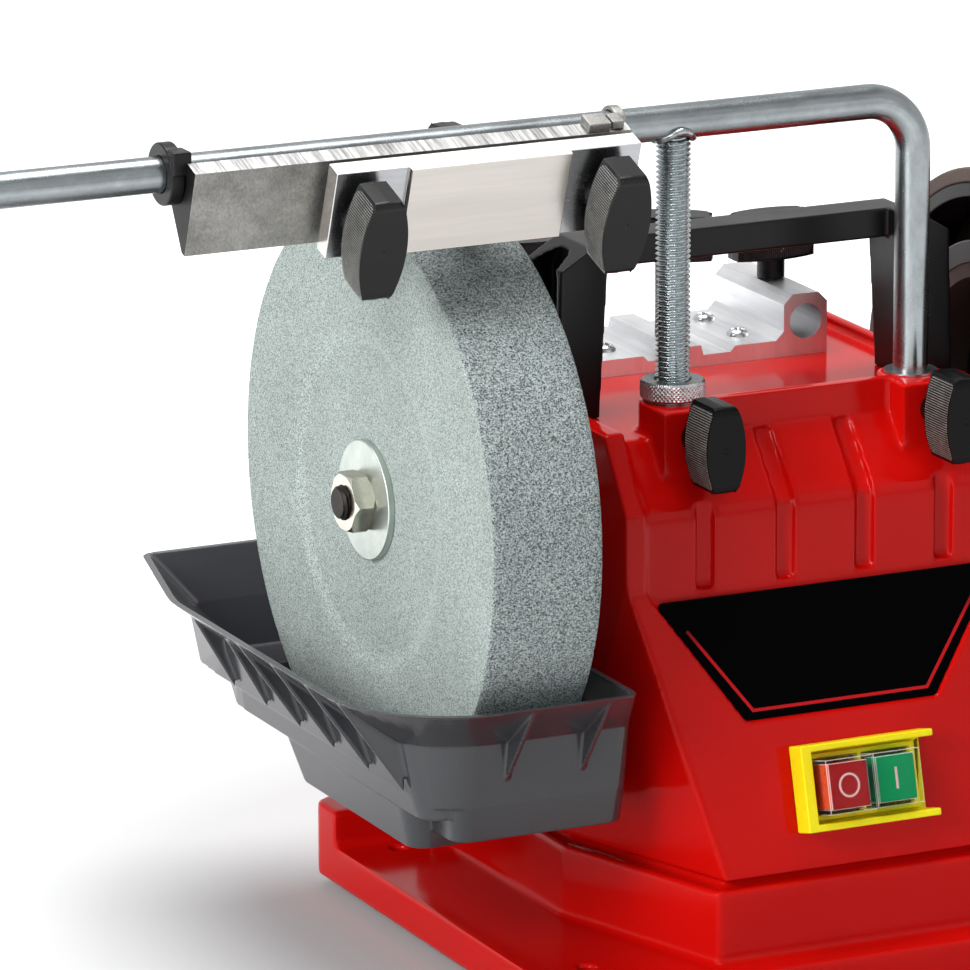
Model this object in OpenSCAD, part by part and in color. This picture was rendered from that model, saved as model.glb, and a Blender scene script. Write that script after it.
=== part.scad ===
// Wet stone grinder with a honing wheel, a universal tool support, a clamping jig and a water tray.
// Millimetres. Origin on the bench under the middle of the base, +X along the spindle towards the
// honing wheel, +Y to the back, +Z up.

/* [Stone and spindle] */
// Diameter of the grinding stone
stone_d = 200; // [190:1:202]
// Width of the grinding stone
stone_w = 40; // [36:1:42]
// Height of the spindle above the bench
spindle_z = 168; // [166:1:172]
// Diameter of the spindle, the support rod and its legs
shaft_d = 12; // [12:0.1:12.2]
// Running clearance on the radius of every shaft and pin
running = 0.05; // [0.02:0.01:0.08]

/* [Honing wheel] */
// Diameter over the leather
wheel_d = 180; // [170:1:186]
// Width of the honing wheel
wheel_w = 30; // [28:1:34]
// Inner diameter of the rubber drive ring
ring_d = 103.5; // [101:0.5:105]
// Diameter of the motor's friction pinion
pinion_d = 9; // [8:0.5:10]

/* [Housing] */
// Width of the housing across the spindle
housing_w = 152; // [150:1:153]
// Thickness of the housing walls
wall = 3.5; // [3:0.1:4]
// Height of the top plate
top_z = 190.5; // [190:0.5:191]
// Lean of the front apron from the vertical
apron_lean = 14.9; // [14:0.1:16]
// Distance between the two support legs
leg_pitch = 91; // [90:0.5:92]

/* [Base] */
// Width of the base
base_w = 231; // [228:1:240]
// Depth of the base
base_l = 210; // [208:1:216]
// Height of the plinth under the housing
plinth_z = 46.5; // [46:0.5:48]
// Height of the rubber feet
foot_h = 4.5; // [4:0.5:5]

/* [Support and jig] */
// Height of the support rod
rod_z = 297; // [296:0.5:304]
// Free end of the support rod
rod_end_x = -299; // [-320:1:-290]
// Length of the jig profile
jig_l = 157; // [150:1:160]
// Length of the clamp bar
bar_l = 110; // [104:1:112]

/* [Hidden] */
$fn = 96;

paint_red = "#c8201c";
black = "#1c1c1e";
dark_grey = "#3b3d40";
zinc = "#b9c0c6";
aluminium = "#d4d6d8";
steel = "#8f9498";

shaft_r = shaft_d / 2;
bore_r = shaft_r + running;
wall_x = housing_w / 2;
leg_x = leg_pitch / 2;
leg_y = -40;

// Front profile of the housing: bench end of the apron, label plane, ribbed wall and top slope
label_low = [-76.6, 96.6];
apron_foot_y = label_low[0] - (label_low[1] - plinth_z) * tan(apron_lean);
wall_front_y = -65.2;
wall_low_z = 139.5;
slope_low_z = 169;
slope_top_y = -47;
slope_bend_r = 12;
slope_angle = atan2(slope_top_y - wall_front_y, top_z - slope_low_z);
back_y = 98;
apron_proud = 2.4;
cheek_t = 7.5;
boss_top_z = 201.5;
bush_flange = 0.8;
rim_h = 4;

// Corner facet of the lower body: three points of the cut plane on the left side
facet_back = [-wall_x, -20, 50];
facet_front = [-52, -91, 50];
facet_top = [-wall_x, -66, 146];

// Stone and wheel along the spindle
stone_x = -141;
stone_in_x = stone_x + stone_w;
wheel_x = 98.5;
bearing_w = 10;
bearing_r = 16;
bearing_x = wall_x - 12;
nut_flats = 19;
nut_h = 7.5;
washer_h = 2.5;
flange_h = 5.5;
stone_recess = 1.5;
washer_x = stone_x + stone_recess - washer_h;
flange_x = stone_in_x - stone_recess;
spindle_left = washer_x - nut_h - 2.2;
spindle_right = wheel_x + wheel_w + washer_h + nut_h + 1.5;

// Motor: its pinion runs inside the drive ring, 0.3 mm off the rubber
motor_z = spindle_z - (ring_d - pinion_d) / 2 + 0.3;
stator_side = 76;
stator_x = [-30, 25];

// Screws of the handle
handle_screw_x = 67;
handle_screw_y = [-3, 8];
screw_pocket_z = 184.3;

// Support mount
mount_y = [37, 90];
mount_block_w = 17;
mount_block_h = 22;
mount_bore_r = 6.25;
mount_bore_z = top_z + 12;
mount_screw_x = 26;
mount_screw_y = [51, 77];
mount_knob_y = 63.5;
centre_knob_y = 53;

// Jig: front face of its profile from its top edge to its bottom edge, in Y and Z
face_top = [-58, 300];
face_low = [-47.9, 270.7];
jig_edge = 7;
jig_groove_r = 6.3;
jig_x = -227;
face_len = norm(face_low - face_top);
face_tilt = atan2(face_low[0] - face_top[0], face_top[1] - face_low[1]);
bar_gap = 4.5;
bar_t = 9;
bar_h = 32;
bar_x = -182;
bar_pocket = 2;
stud_r = 3;
jig_knob_x = [bar_x + 11, bar_x + bar_l - 11];
jig_bar_v = face_len / 2 + 1.3;
jig_knob_v = jig_bar_v - 4;
lock_knob_x = -120;
lock_knob_z = 286.5;
front_knob_z = 192.5;

// Switch on the apron: centre across and up the slope from the label's lower edge
switch_u = 2;
switch_v = -24.8;
bezel_w = 48.5;
bezel_h = 29.5;
cap_w = 17.7;
cap_h = 18.7;
cap_shell = 1.4;
button_w = cap_w - 2 * cap_shell;
button_h = cap_h - 2 * cap_shell;
red_u = -9.9;
red_proud = 14;
green_u = 9.7;
green_proud = 11;

// Water tray
tray_rim_z = 118.5;
tray_break_z = 102;
tray_floor_z = 59;
tray_rim = [-181.5, -86.5, -100, 138, 44, -167, 70];
tray_break = [-161, -79, -79.5, 128, 28, -154, 66];
tray_wall = 2.5;
tray_tab_y = [-5, 50];
tray_tab_w = 12;
tab_slot_z = [53, 107];

bolt_x = 95;
bolt_y = 75;
bolt_r = 3.25;
base_screw_at = [[-60.5, -45], [60.5, -45], [-68.5, 84], [68.5, 84]];
base_screw_z = plinth_z - 10;
base_floor_z = 18;
foot_r = 13;
foot_bore_r = 5;

// Round bar or tube along X between two ends
module along_x(x0, x1, r, bore = 0) {
    translate([x0, 0, 0]) rotate([0, 90, 0]) difference() {
        cylinder(h = x1 - x0, r = r);
        if (bore > 0) translate([0, 0, -1]) cylinder(h = x1 - x0 + 2, r = bore);
    }
}

// Children on the spindle axis
module on_spindle() {
    translate([0, 0, spindle_z]) children();
}

// Extrudes a Y-Z outline along X
module side_profile(x0, x1, outline) {
    translate([x0, 0, 0]) rotate([90, 0, 90]) linear_extrude(x1 - x0) polygon(outline);
}

// Children in the label plane: X across, Y up the slope, Z outwards
module on_apron() {
    translate([0, label_low[0], label_low[1]]) rotate([90 - apron_lean, 0, 0]) children();
}

// Children in the jig's front face: X along the rod, Y up the face, Z outwards
module on_jig_face() {
    translate([0, face_low[0], face_low[1]]) rotate([90 + face_tilt, 0, 0]) children();
}

module rounded_plate(w, h, t, r) {
    linear_extrude(t) {
        square([w - 2 * r, h], center = true);
        square([w, h - 2 * r], center = true);
        for (x = [-1, 1], y = [-1, 1]) translate([x * (w / 2 - r), y * (h / 2 - r)]) circle(r);
    }
}

module hex_nut(flats, h) {
    face_r = flats / 2 * 1.02;
    intersection() {
        difference() {
            cylinder(h = h, d = flats / cos(30), $fn = 6);
            translate([0, 0, -1]) cylinder(h = h + 2, r = bore_r);
        }
        union() {
            cylinder(h = h / 2, r1 = face_r, r2 = face_r + h / 2);
            translate([0, 0, h / 2]) cylinder(h = h / 2, r1 = face_r + h / 2, r2 = face_r);
        }
    }
}

// Barrel-sided wing grip with a round neck towards its stud, along +Z
module wing_grip(tall, wide, end_wide, deep, neck_r, neck_h) {
    bulge = (wide - end_wide) / 2;
    arc_r = (tall * tall / 4 + bulge * bulge) / (2 * bulge);
    cylinder(h = neck_h + 1, r = neck_r);
    translate([0, 0, neck_h]) linear_extrude(deep) intersection() {
        translate([arc_r - wide / 2, 0]) circle(arc_r, $fn = 200);
        translate([wide / 2 - arc_r, 0]) circle(arc_r, $fn = 200);
        square([wide + 2, tall], center = true);
    }
}

// Grip with its own stud, which reaches back from the neck
module wing_knob(tall, wide, end_wide, deep, neck_r, neck_h, stud_len) {
    color(black) {
        wing_grip(tall, wide, end_wide, deep, neck_r, neck_h);
        translate([0, 0, -stud_len]) cylinder(h = stud_len + 1, r = stud_r);
    }
}

// Half-space beyond the corner facet, moved inwards by inset
module facet_cut(inset) {
    n = cross(facet_front - facet_back, facet_top - facet_back);
    u = n / norm(n);
    reach = 400;
    translate(facet_top - u * inset) rotate([0, acos(u[2]), atan2(u[1], u[0])])
        translate([-reach, -reach, 0]) cube([2 * reach, 2 * reach, 120]);
}

module both_sides() {
    children();
    mirror([1, 0, 0]) children();
}

module housing_body() {
    // The back rim leaves room for the support mount
    rim_gap_x = leg_x + mount_block_w / 2 + 2;
    label_top_y = label_low[0] + (wall_low_z - label_low[1]) * tan(apron_lean);
    bend_z = slope_low_z - slope_bend_r * tan(slope_angle / 2);
    bend = [for (i = [0 : 4]) [wall_front_y + slope_bend_r * (1 - cos(slope_angle * i / 4)),
        bend_z + slope_bend_r * sin(slope_angle * i / 4)]];
    apron_low = -53;
    apron_top = 50.8;
    difference() {
        union() {
            side_profile(-wall_x, wall_x, concat([[apron_foot_y, plinth_z], [label_top_y, wall_low_z],
                [wall_front_y, wall_low_z]], bend, [[slope_top_y, top_z],
                [back_y - 8, top_z], [back_y, top_z - 10], [back_y, plinth_z]]));
            // Apron, proud of the label plane, with the label's place open at the top
            on_apron() difference() {
                translate([-wall_x, apron_low, -1])
                    cube([housing_w, apron_top - apron_low, apron_proud + 1]);
                translate([0, 0, 0.001]) linear_extrude(20)
                    polygon([[-36.5, 0], [36.5, 0], [73.7, 54.7], [-73.7, 54.7]]);
            }
            // Cheeks at both ends of the ribbed wall, and the rims on the top plate
            both_sides() {
                side_profile(wall_x - cheek_t, wall_x, [[-67, 138], [-66.5, slope_low_z + 1],
                    [-50, top_z + rim_h], [-18, top_z + rim_h], [-14, top_z - 1], [-40, 138]]);
                translate([wall_x - 4, 19, top_z - 1]) cube([4, back_y - 27, rim_h + 1]);
            }
            both_sides() translate([rim_gap_x, back_y - 12, top_z - 1])
                cube([wall_x - rim_gap_x, 4, rim_h + 1]);
        }
        both_sides() facet_cut(0);
        translate([-wall_x - 10, -120, plinth_z - 30]) cube([housing_w + 20, 240, 30]);
    }
}

module housing_cavity() {
    slope = tan(apron_lean);
    foot_y = apron_foot_y + wall;
    top_y = foot_y + (wall_low_z - plinth_z) * slope;
    difference() {
        side_profile(-wall_x + wall, wall_x - wall, [[foot_y - slope, plinth_z - 1], [top_y, wall_low_z],
            [wall_front_y + wall + 2, wall_low_z + 1], [wall_front_y + wall + 2, slope_low_z - 2],
            [slope_top_y + 2, top_z - wall - 2], [slope_top_y + 4, top_z - wall],
            [back_y - 9.5, top_z - wall], [back_y - wall, top_z - 11.5], [back_y - wall, plinth_z - 1]]);
        both_sides() facet_cut(wall);
    }
}

module boss_column() {
    translate([leg_x, leg_y, 135]) cylinder(h = boss_top_z - 135, r = 11.5);
    translate([leg_x - 11.5, -57, slope_low_z - 3]) cube([23, 57 + leg_y, boss_top_z - slope_low_z + 3]);
}

module housing() {
    groove_w = 7;
    groove_y = wall_front_y + 2.6;
    groove_low_z = wall_low_z + 1.8;
    lip_y = -47;
    lip_t = 4;
    lip_top_z = boss_top_z + 0.5;
    color(paint_red) difference() {
        union() {
            difference() {
                housing_body();
                housing_cavity();
            }
            both_sides() boss_column();
            // Lip between the bosses
            translate([-leg_x, lip_y, top_z - wall]) cube([leg_pitch, lip_t, lip_top_z - top_z + wall]);
            // Bearing seats and screw posts
            both_sides() on_spindle() along_x(bearing_x - 4, wall_x - 1, 19.5);
            for (p = base_screw_at) translate([p[0], p[1], plinth_z]) cylinder(h = 22, r = 5);
        }
        // Grooves down the slope and the ribbed wall; the outer two stop under the bosses
        for (i = [-1.5, -0.5, 0.5, 1.5]) translate([i * leg_pitch / 3 - groove_w / 2, 0, 0])
            side_profile(0, groove_w, concat([[groove_y - 8, groove_low_z], [groove_y, groove_low_z],
                [groove_y, slope_low_z - 1]], abs(i) > 1
                ? [[groove_y, slope_low_z + 2], [groove_y - 8, slope_low_z + 2]]
                : [[slope_top_y + 1.5, top_z - 1.6], [slope_top_y - 0.2, top_z - 0.1],
                    [slope_top_y - 5, top_z], [groove_y - 8, slope_low_z]]));
        // Leg sleeves and the clamp studs that cross them
        both_sides() {
            translate([leg_x, leg_y, 100]) cylinder(h = 120, r = 8);
            translate([leg_x, -70, front_knob_z]) rotate([-90, 0, 0])
                cylinder(h = 30, r = stud_r + running);
            on_spindle() along_x(bearing_x - 5, bearing_x + bearing_w, bearing_r);
            on_spindle() along_x(bearing_x, wall_x + 1, 11);
        }
        // Pockets for the heads of the handle screws
        both_sides() translate([handle_screw_x - 5, handle_screw_y[0] - 5, screw_pocket_z])
            cube([10, handle_screw_y[1] - handle_screw_y[0] + 10, top_z - wall - screw_pocket_z]);
        // Passage for the motor shaft
        translate([0, 0, motor_z]) along_x(wall_x - 6, wall_x + 2, 13);
        // Slots for the tabs of the water tray
        for (y = tray_tab_y) translate([-wall_x - 1, y - tray_tab_w / 2 - 0.4, tab_slot_z[0]])
            cube([wall + 2, tray_tab_w + 0.8, tab_slot_z[1] - tab_slot_z[0]]);
        // Cut-out for the switch
        on_apron() translate([switch_u - 23, switch_v - 12, -8]) cube([45, 24, 20]);
        // Screw holes of the support mount, the handle and the base
        for (x = [-1, 1], y = mount_screw_y) translate([x * mount_screw_x, y, top_z - 10])
            cylinder(h = 20, r = 2);
        for (x = [-1, 1], y = handle_screw_y) translate([x * handle_screw_x, y, top_z - wall - 1])
            cylinder(h = 20, r = 2.5);
        for (p = base_screw_at) translate([p[0], p[1], plinth_z - 1]) cylinder(h = 19, r = 2.1);
        translate([0, centre_knob_y, top_z - 10]) cylinder(h = 20, r = stud_r + running);
        // Air slots and the cable inlet in the back
        for (i = [0 : 5]) translate([-45 + i * 18, back_y - 10, 95]) cube([6, 20, 40]);
        translate([48, back_y - 10, 70]) rotate([-90, 0, 0]) cylinder(h = 20, r = 8);
    }
}

// Plan of the plinth, grown outwards by grow
module plinth_plan(grow) {
    polygon([[-53 - grow, -92 - grow], [53 + grow, -92 - grow], [wall_x + grow, -20 - grow],
        [wall_x + grow, back_y + grow], [-wall_x - grow, back_y + grow], [-wall_x - grow, -20 - grow]]);
}

module base() {
    shelf_r = 8;
    post_l = 21;
    step_h = 13;
    seam = 3;
    color(paint_red) difference() {
        union() {
            translate([0, 0, foot_h]) rounded_plate(base_w, base_l, base_floor_z - foot_h, shelf_r);
            translate([0, 0, base_floor_z - 1]) linear_extrude(plinth_z - seam - base_floor_z + 1)
                plinth_plan(1.5);
            translate([0, 0, plinth_z - seam - 1]) linear_extrude(seam + 1) plinth_plan(-3);
            // Sleeves that carry the bench bolts through the feet
            for (x = [-1, 1], y = [-1, 1]) translate([x * bolt_x, y * bolt_y, 0])
                cylinder(h = foot_h + 1, r = foot_bore_r - running);
            // Raised step along the back of both shelves
            both_sides() intersection() {
                translate([wall_x, base_l / 2 - post_l, base_floor_z - 1]) cube([60, 60, step_h + 1]);
                rounded_plate(base_w, base_l, 60, shelf_r);
            }
        }
        // Hollow underside, with columns left for the feet
        difference() {
            union() {
                translate([0, 0, foot_h - 1])
                    rounded_plate(base_w - 9, base_l - 9, base_floor_z - foot_h - 3, 4);
                translate([0, 0, foot_h - 1]) linear_extrude(plinth_z - foot_h - 3) plinth_plan(-7);
            }
            for (x = [-1, 1], y = [-1, 1]) translate([x * bolt_x, y * bolt_y, 0])
                cylinder(h = 30, r = foot_r);
            for (p = base_screw_at) translate([p[0], p[1], base_screw_z - 10]) cylinder(h = 30, r = 8);
        }
        for (x = [-1, 1], y = [-1, 1]) translate([x * bolt_x, y * bolt_y, -1])
            cylinder(h = 30, r = bolt_r);
        for (p = base_screw_at) translate([p[0], p[1], 0]) {
            cylinder(h = 60, r = 2.5);
            cylinder(h = base_screw_z, r = 4.5);
        }
    }
}

module feet() {
    color(black) for (x = [-1, 1], y = [-1, 1]) translate([x * bolt_x, y * bolt_y, 0]) difference() {
        cylinder(h = foot_h, r1 = foot_r - 1, r2 = foot_r);
        translate([0, 0, -1]) cylinder(h = foot_h + 2, r = foot_bore_r);
    }
}

module base_screws() {
    head_h = 3;
    color(zinc) for (p = base_screw_at) translate([p[0], p[1], base_screw_z - head_h]) {
        cylinder(h = head_h, r = 4.2);
        cylinder(h = 30, r = 2);
    }
}

module label_panel() {
    inset = 0.3;
    color(black) on_apron() linear_extrude(1.2) polygon([[-36.5 + inset, inset], [36.5 - inset, inset],
        [66.2 - inset, 43.6 - inset], [-66.2 + inset, 43.6 - inset]]);
}

// Children on the switch's own centre, on the face of the apron
module on_switch() {
    on_apron() translate([switch_u, switch_v, apron_proud]) children();
}

module switch_bezel() {
    rail = 4;
    floor_t = 2;
    proud = 9;
    color("#f4dc14") on_switch() difference() {
        union() {
            translate([-bezel_w / 2, -bezel_h / 2, 0]) cube([bezel_w, bezel_h, floor_t]);
            translate([-bezel_w / 2, -bezel_h / 2, 0]) cube([rail, bezel_h, proud]);
            for (v = [-bezel_h / 2, bezel_h / 2 - rail * 0.6]) translate([-bezel_w / 2, v, 0])
                cube([bezel_w + 2, rail * 0.6, proud]);
            // Raised frame round the buttons
            translate([-21.3, -11.4, 0]) cube([42.3, 22.8, 4.5]);
        }
        for (u = [red_u, green_u]) translate([u - cap_w / 2 - 0.3, -cap_h / 2 - 0.3, -1])
            cube([cap_w + 0.6, cap_h + 0.6, 20]);
    }
}

module switch_block() {
    pocket = 6;
    color(black) on_switch() difference() {
        translate([-21.5, -11.5, -36]) cube([43, 23, 36]);
        translate([-20.2, -10.4, -pocket]) cube([40.4, 20.8, pocket + 1]);
    }
}

module button(u, proud) {
    on_switch() translate([u - button_w / 2, -button_h / 2, -2]) cube([button_w, button_h, proud + 2]);
}

module button_cap(u, proud) {
    on_switch() translate([u, 0, 0]) difference() {
        translate([-cap_w / 2, -cap_h / 2, -2]) cube([cap_w, cap_h, proud + 2 + cap_shell]);
        translate([-button_w / 2, -button_h / 2, -3]) cube([button_w, button_h, proud + 3]);
    }
}

module button_red() { color("#aa1419") button(red_u, red_proud); }
module button_green() { color("#00824b") button(green_u, green_proud); }
module cap_red() { color("#f0d8d0", 0.4) button_cap(red_u, red_proud); }
module cap_green() { color("#d8f0dc", 0.4) button_cap(green_u, green_proud); }

module handle() {
    handle_y = [-14, 13];
    bar_y = -2;
    bar_low = 239.5;
    bar_top = 249.8;
    slope_h = 7;
    channel_x = 66;
    channel_low = 214;
    channel_r = 10;
    channel_top = bar_top - 2 - channel_r;
    color(black) difference() {
        translate([0, handle_y[1], 0]) rotate([90, 0, 0]) linear_extrude(handle_y[1] - handle_y[0])
            polygon([[-76, top_z], [-74.5, bar_top - slope_h], [-63, bar_top], [63, bar_top],
                [74.5, bar_top - slope_h], [76, top_z], [60, top_z], [57, bar_low], [-57, bar_low],
                [-60, top_z]]);
        // The bar is set back from the front of the legs
        translate([-57, handle_y[0] - 1, bar_low - 5]) cube([114, bar_y - handle_y[0] + 1, 30]);
        // Each leg is a channel on its outer side, with a round top that runs out in the slope
        both_sides() translate([channel_x, (handle_y[0] + handle_y[1]) / 2, 0]) {
            translate([0, -channel_r, channel_low]) cube([20, 2 * channel_r, channel_top - channel_low]);
            translate([0, 0, channel_top]) rotate([0, 90, 0]) cylinder(h = 20, r = channel_r);
        }
        for (x = [-1, 1], y = handle_screw_y) translate([x * handle_screw_x, y, top_z - 1])
            cylinder(h = 16, r = 2);
    }
}

module handle_screws() {
    head_h = 2.5;
    color(zinc) for (x = [-1, 1], y = handle_screw_y)
        translate([x * handle_screw_x, y, top_z - wall - head_h]) {
        cylinder(h = head_h, r = 4);
        cylinder(h = 16, r = 2);
    }
}

module support_mount() {
    half = mount_block_w / 2;
    chamfer = 3.5;
    inner = leg_x - half;
    outer = leg_x + half;
    pad = 4.5;
    right = [[outer, 0], [outer, mount_block_h - chamfer], [outer - chamfer, mount_block_h],
        [inner + chamfer, mount_block_h], [inner, mount_block_h - chamfer], [inner, 9], [inner - 3, 6],
        [18, 6], [16, 4], [pad + 1, 4], [pad, 7.5]];
    left = [for (i = [len(right) - 1 : -1 : 0]) [-right[i][0], right[i][1]]];
    color(aluminium) difference() {
        translate([0, mount_y[1], top_z]) rotate([90, 0, 0]) linear_extrude(mount_y[1] - mount_y[0])
            polygon(concat(right, left));
        both_sides() {
            translate([leg_x, mount_y[0] - 1, mount_bore_z]) rotate([-90, 0, 0])
                cylinder(h = mount_y[1] - mount_y[0] + 2, r = mount_bore_r);
            translate([leg_x, mount_knob_y, mount_bore_z]) cylinder(h = 20, r = stud_r + running);
            for (y = mount_screw_y) translate([mount_screw_x, y, top_z - 1]) cylinder(h = 20, r = 2.2);
        }
        translate([0, centre_knob_y, top_z - 1]) cylinder(h = 20, r = stud_r + running);
    }
}

module mount_screws() {
    head_r = 4;
    color(zinc) for (x = [-1, 1], y = mount_screw_y) translate([x * mount_screw_x, y, top_z - 8]) {
        cylinder(h = 14.1, r = 2);
        translate([0, 0, 14]) intersection() {
            cylinder(h = 2.4, r = head_r);
            translate([0, 0, 2.4 - 6]) sphere(6);
        }
    }
}

module sleeve_bush(x) {
    color(steel) translate([x, leg_y, 0]) difference() {
        union() {
            translate([0, 0, 136]) cylinder(h = boss_top_z - 136, r = 7.98);
            translate([0, 0, boss_top_z]) cylinder(h = bush_flange, r = 9.2);
        }
        translate([0, 0, 130]) cylinder(h = 90, r = bore_r);
        translate([0, -30, front_knob_z]) rotate([-90, 0, 0]) cylinder(h = 30, r = stud_r + running);
    }
}

module sleeve_bush_left() { sleeve_bush(-leg_x); }
module sleeve_bush_right() { sleeve_bush(leg_x); }

module bearing_left() {
    color(steel) on_spindle() along_x(-bearing_x - bearing_w + 0.05, -bearing_x, bearing_r - 0.02, bore_r);
}

module bearing_right() {
    color(steel) on_spindle() along_x(bearing_x, bearing_x + bearing_w - 0.05, bearing_r - 0.02, bore_r);
}

module motor_bracket() {
    half = stator_side / 2;
    color(steel) translate([0, 0, plinth_z]) {
        translate([stator_x[0] - 10, -half - 5, 0]) cube([75, stator_side + 10, 3]);
        for (y = [-half - 3, half]) translate([stator_x[0] + 5, y, 0]) cube([45, 3, motor_z - plinth_z]);
    }
}

module motor_stator() {
    color("#6f7276") translate([0, 0, motor_z]) difference() {
        intersection() {
            translate([stator_x[0], -stator_side / 2, -stator_side / 2])
                cube([stator_x[1] - stator_x[0], stator_side, stator_side]);
            along_x(stator_x[0], stator_x[1], stator_side * 0.62);
        }
        along_x(stator_x[0] - 1, stator_x[1] + 1, 22);
    }
}

module motor_end_caps() {
    color("#a9acae") translate([0, 0, motor_z]) {
        along_x(stator_x[1], stator_x[1] + 14, 29, 5 + running);
        along_x(stator_x[0] - 14, stator_x[0], 29, 5 + running);
    }
}

module motor_rotor() {
    core_gap = 1;
    color(steel) translate([0, 0, motor_z]) {
        along_x(-62, wall_x + 6, 5);
        along_x(stator_x[0] + core_gap, stator_x[1] - core_gap, 21.5);
        along_x(wall_x + 5, wheel_x + 18, pinion_d / 2);
    }
}

module motor_fan() {
    color(dark_grey) translate([0, 0, motor_z]) {
        along_x(-60, -50, 10, 5);
        along_x(-52, -50, 24, 9);
        for (a = [0 : 45 : 315]) rotate([a, 0, 0]) translate([-60, 9, -1]) cube([9, 15, 2]);
    }
}

module capacitor() {
    color(aluminium) {
        translate([0, 68, plinth_z + 17]) along_x(-32, 32, 16.8);
        translate([-20, 60, plinth_z]) cube([40, 16, 5]);
    }
}

module cable_gland() {
    color(black) translate([48, back_y, 70]) rotate([-90, 0, 0]) difference() {
        union() {
            translate([0, 0, -8]) cylinder(h = 9, r = 7.9);
            cylinder(h = 5, r = 11, $fn = 6);
            translate([0, 0, 5]) cylinder(h = 9, r1 = 9, r2 = 6.5);
        }
        translate([0, 0, -9]) cylinder(h = 30, r = 3.6);
    }
}

module spindle() {
    color(steel) on_spindle() along_x(spindle_left, spindle_right, shaft_r);
}

module stone() {
    recess_r = 52;
    recess_slope = 8;
    color("#a9b6b0") on_spindle() difference() {
        along_x(stone_x, stone_in_x, stone_d / 2, bore_r);
        for (side = [0, 1]) translate([side ? stone_in_x : stone_x, 0, 0]) mirror([side, 0, 0])
            translate([-0.01, 0, 0]) rotate([0, 90, 0])
                cylinder(h = stone_recess + 0.01, r1 = recess_r + recess_slope, r2 = recess_r);
    }
}

module stone_flange() {
    color(steel) on_spindle() along_x(flange_x, flange_x + flange_h, 20, bore_r);
}

module stone_washer() {
    color(zinc) on_spindle() along_x(washer_x, washer_x + washer_h, 20.5, bore_r);
}

module stone_nut() {
    color(zinc) on_spindle() translate([washer_x - nut_h, 0, 0]) rotate([0, 90, 0])
        rotate([0, 0, 30]) hex_nut(nut_flats, nut_h);
}

module stone_spacer() {
    color(steel) on_spindle() along_x(flange_x + flange_h, -bearing_x - bearing_w - 0.2, 9, bore_r);
}

module wheel_spacer() {
    color(steel) on_spindle() along_x(bearing_x + bearing_w + 0.2, wheel_x, 9, bore_r);
}

module honing_wheel() {
    rim_r = wheel_d / 2 - 5.3;
    web = 10;
    ring_out = ring_d / 2 + 12.9;
    ring_in = ring_d / 2 + 5;
    end = wheel_x + wheel_w;
    color(black) on_spindle() {
        along_x(wheel_x, end, rim_r, rim_r - 5);
        along_x(end - web, end, rim_r - 4, bore_r);
        along_x(wheel_x, end, 14, bore_r);
        along_x(wheel_x, end - web + 1, ring_out, ring_in);
    }
}

module leather_strap() {
    color("#8a5a34") on_spindle() along_x(wheel_x, wheel_x + wheel_w, wheel_d / 2, wheel_d / 2 - 5.3);
}

module drive_ring() {
    color("#5a4a42") on_spindle()
        along_x(wheel_x + 0.5, wheel_x + wheel_w - 10, ring_d / 2 + 5, ring_d / 2);
}

module wheel_washer() {
    color(zinc) on_spindle() along_x(wheel_x + wheel_w, wheel_x + wheel_w + washer_h, 15, bore_r);
}

module wheel_nut() {
    color(zinc) on_spindle() translate([wheel_x + wheel_w + washer_h, 0, 0]) rotate([0, 90, 0])
        hex_nut(nut_flats, nut_h);
}

leg_low_z = 140;
bend_r = 18;

module support_rod() {
    chamfer = 1;
    color(zinc) translate([0, leg_y, 0]) {
        translate([0, 0, rod_z]) {
            along_x(rod_end_x + chamfer, leg_x - bend_r, shaft_r);
            translate([rod_end_x, 0, 0]) rotate([0, 90, 0])
                cylinder(h = chamfer, r1 = shaft_r - chamfer, r2 = shaft_r);
        }
        translate([leg_x - bend_r, 0, rod_z - bend_r]) rotate([90, 0, 0])
            rotate_extrude(angle = 90) translate([bend_r, 0]) circle(shaft_r);
        translate([leg_x, 0, leg_low_z]) cylinder(h = rod_z - bend_r - leg_low_z, r = shaft_r);
    }
}

module threaded_leg() {
    bead_r = 1.6;
    color(zinc) difference() {
        translate([-leg_x, leg_y, 0]) {
            translate([0, 0, leg_low_z]) cylinder(h = rod_z - 3 - leg_low_z, r = shaft_r);
            translate([0, 0, rod_z - shaft_r - 0.5]) rotate_extrude() translate([shaft_r - 0.6, 0])
                circle(bead_r, $fn = 32);
        }
        translate([0, leg_y, rod_z]) along_x(-leg_x - 20, -leg_x + 20, shaft_r);
    }
}

module height_nut() {
    nut_r = 11.15;
    chamfer = 0.7;
    nut_high = 6.4;
    color(zinc) translate([-leg_x, leg_y, boss_top_z + bush_flange + 0.05]) difference() {
        union() {
            cylinder(h = chamfer, r1 = nut_r - chamfer, r2 = nut_r);
            translate([0, 0, chamfer]) cylinder(h = nut_high - 2 * chamfer, r = nut_r);
            translate([0, 0, nut_high - chamfer]) cylinder(h = chamfer, r1 = nut_r, r2 = nut_r - chamfer);
        }
        translate([0, 0, -1]) cylinder(h = nut_high + 2, r = bore_r);
    }
}

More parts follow.
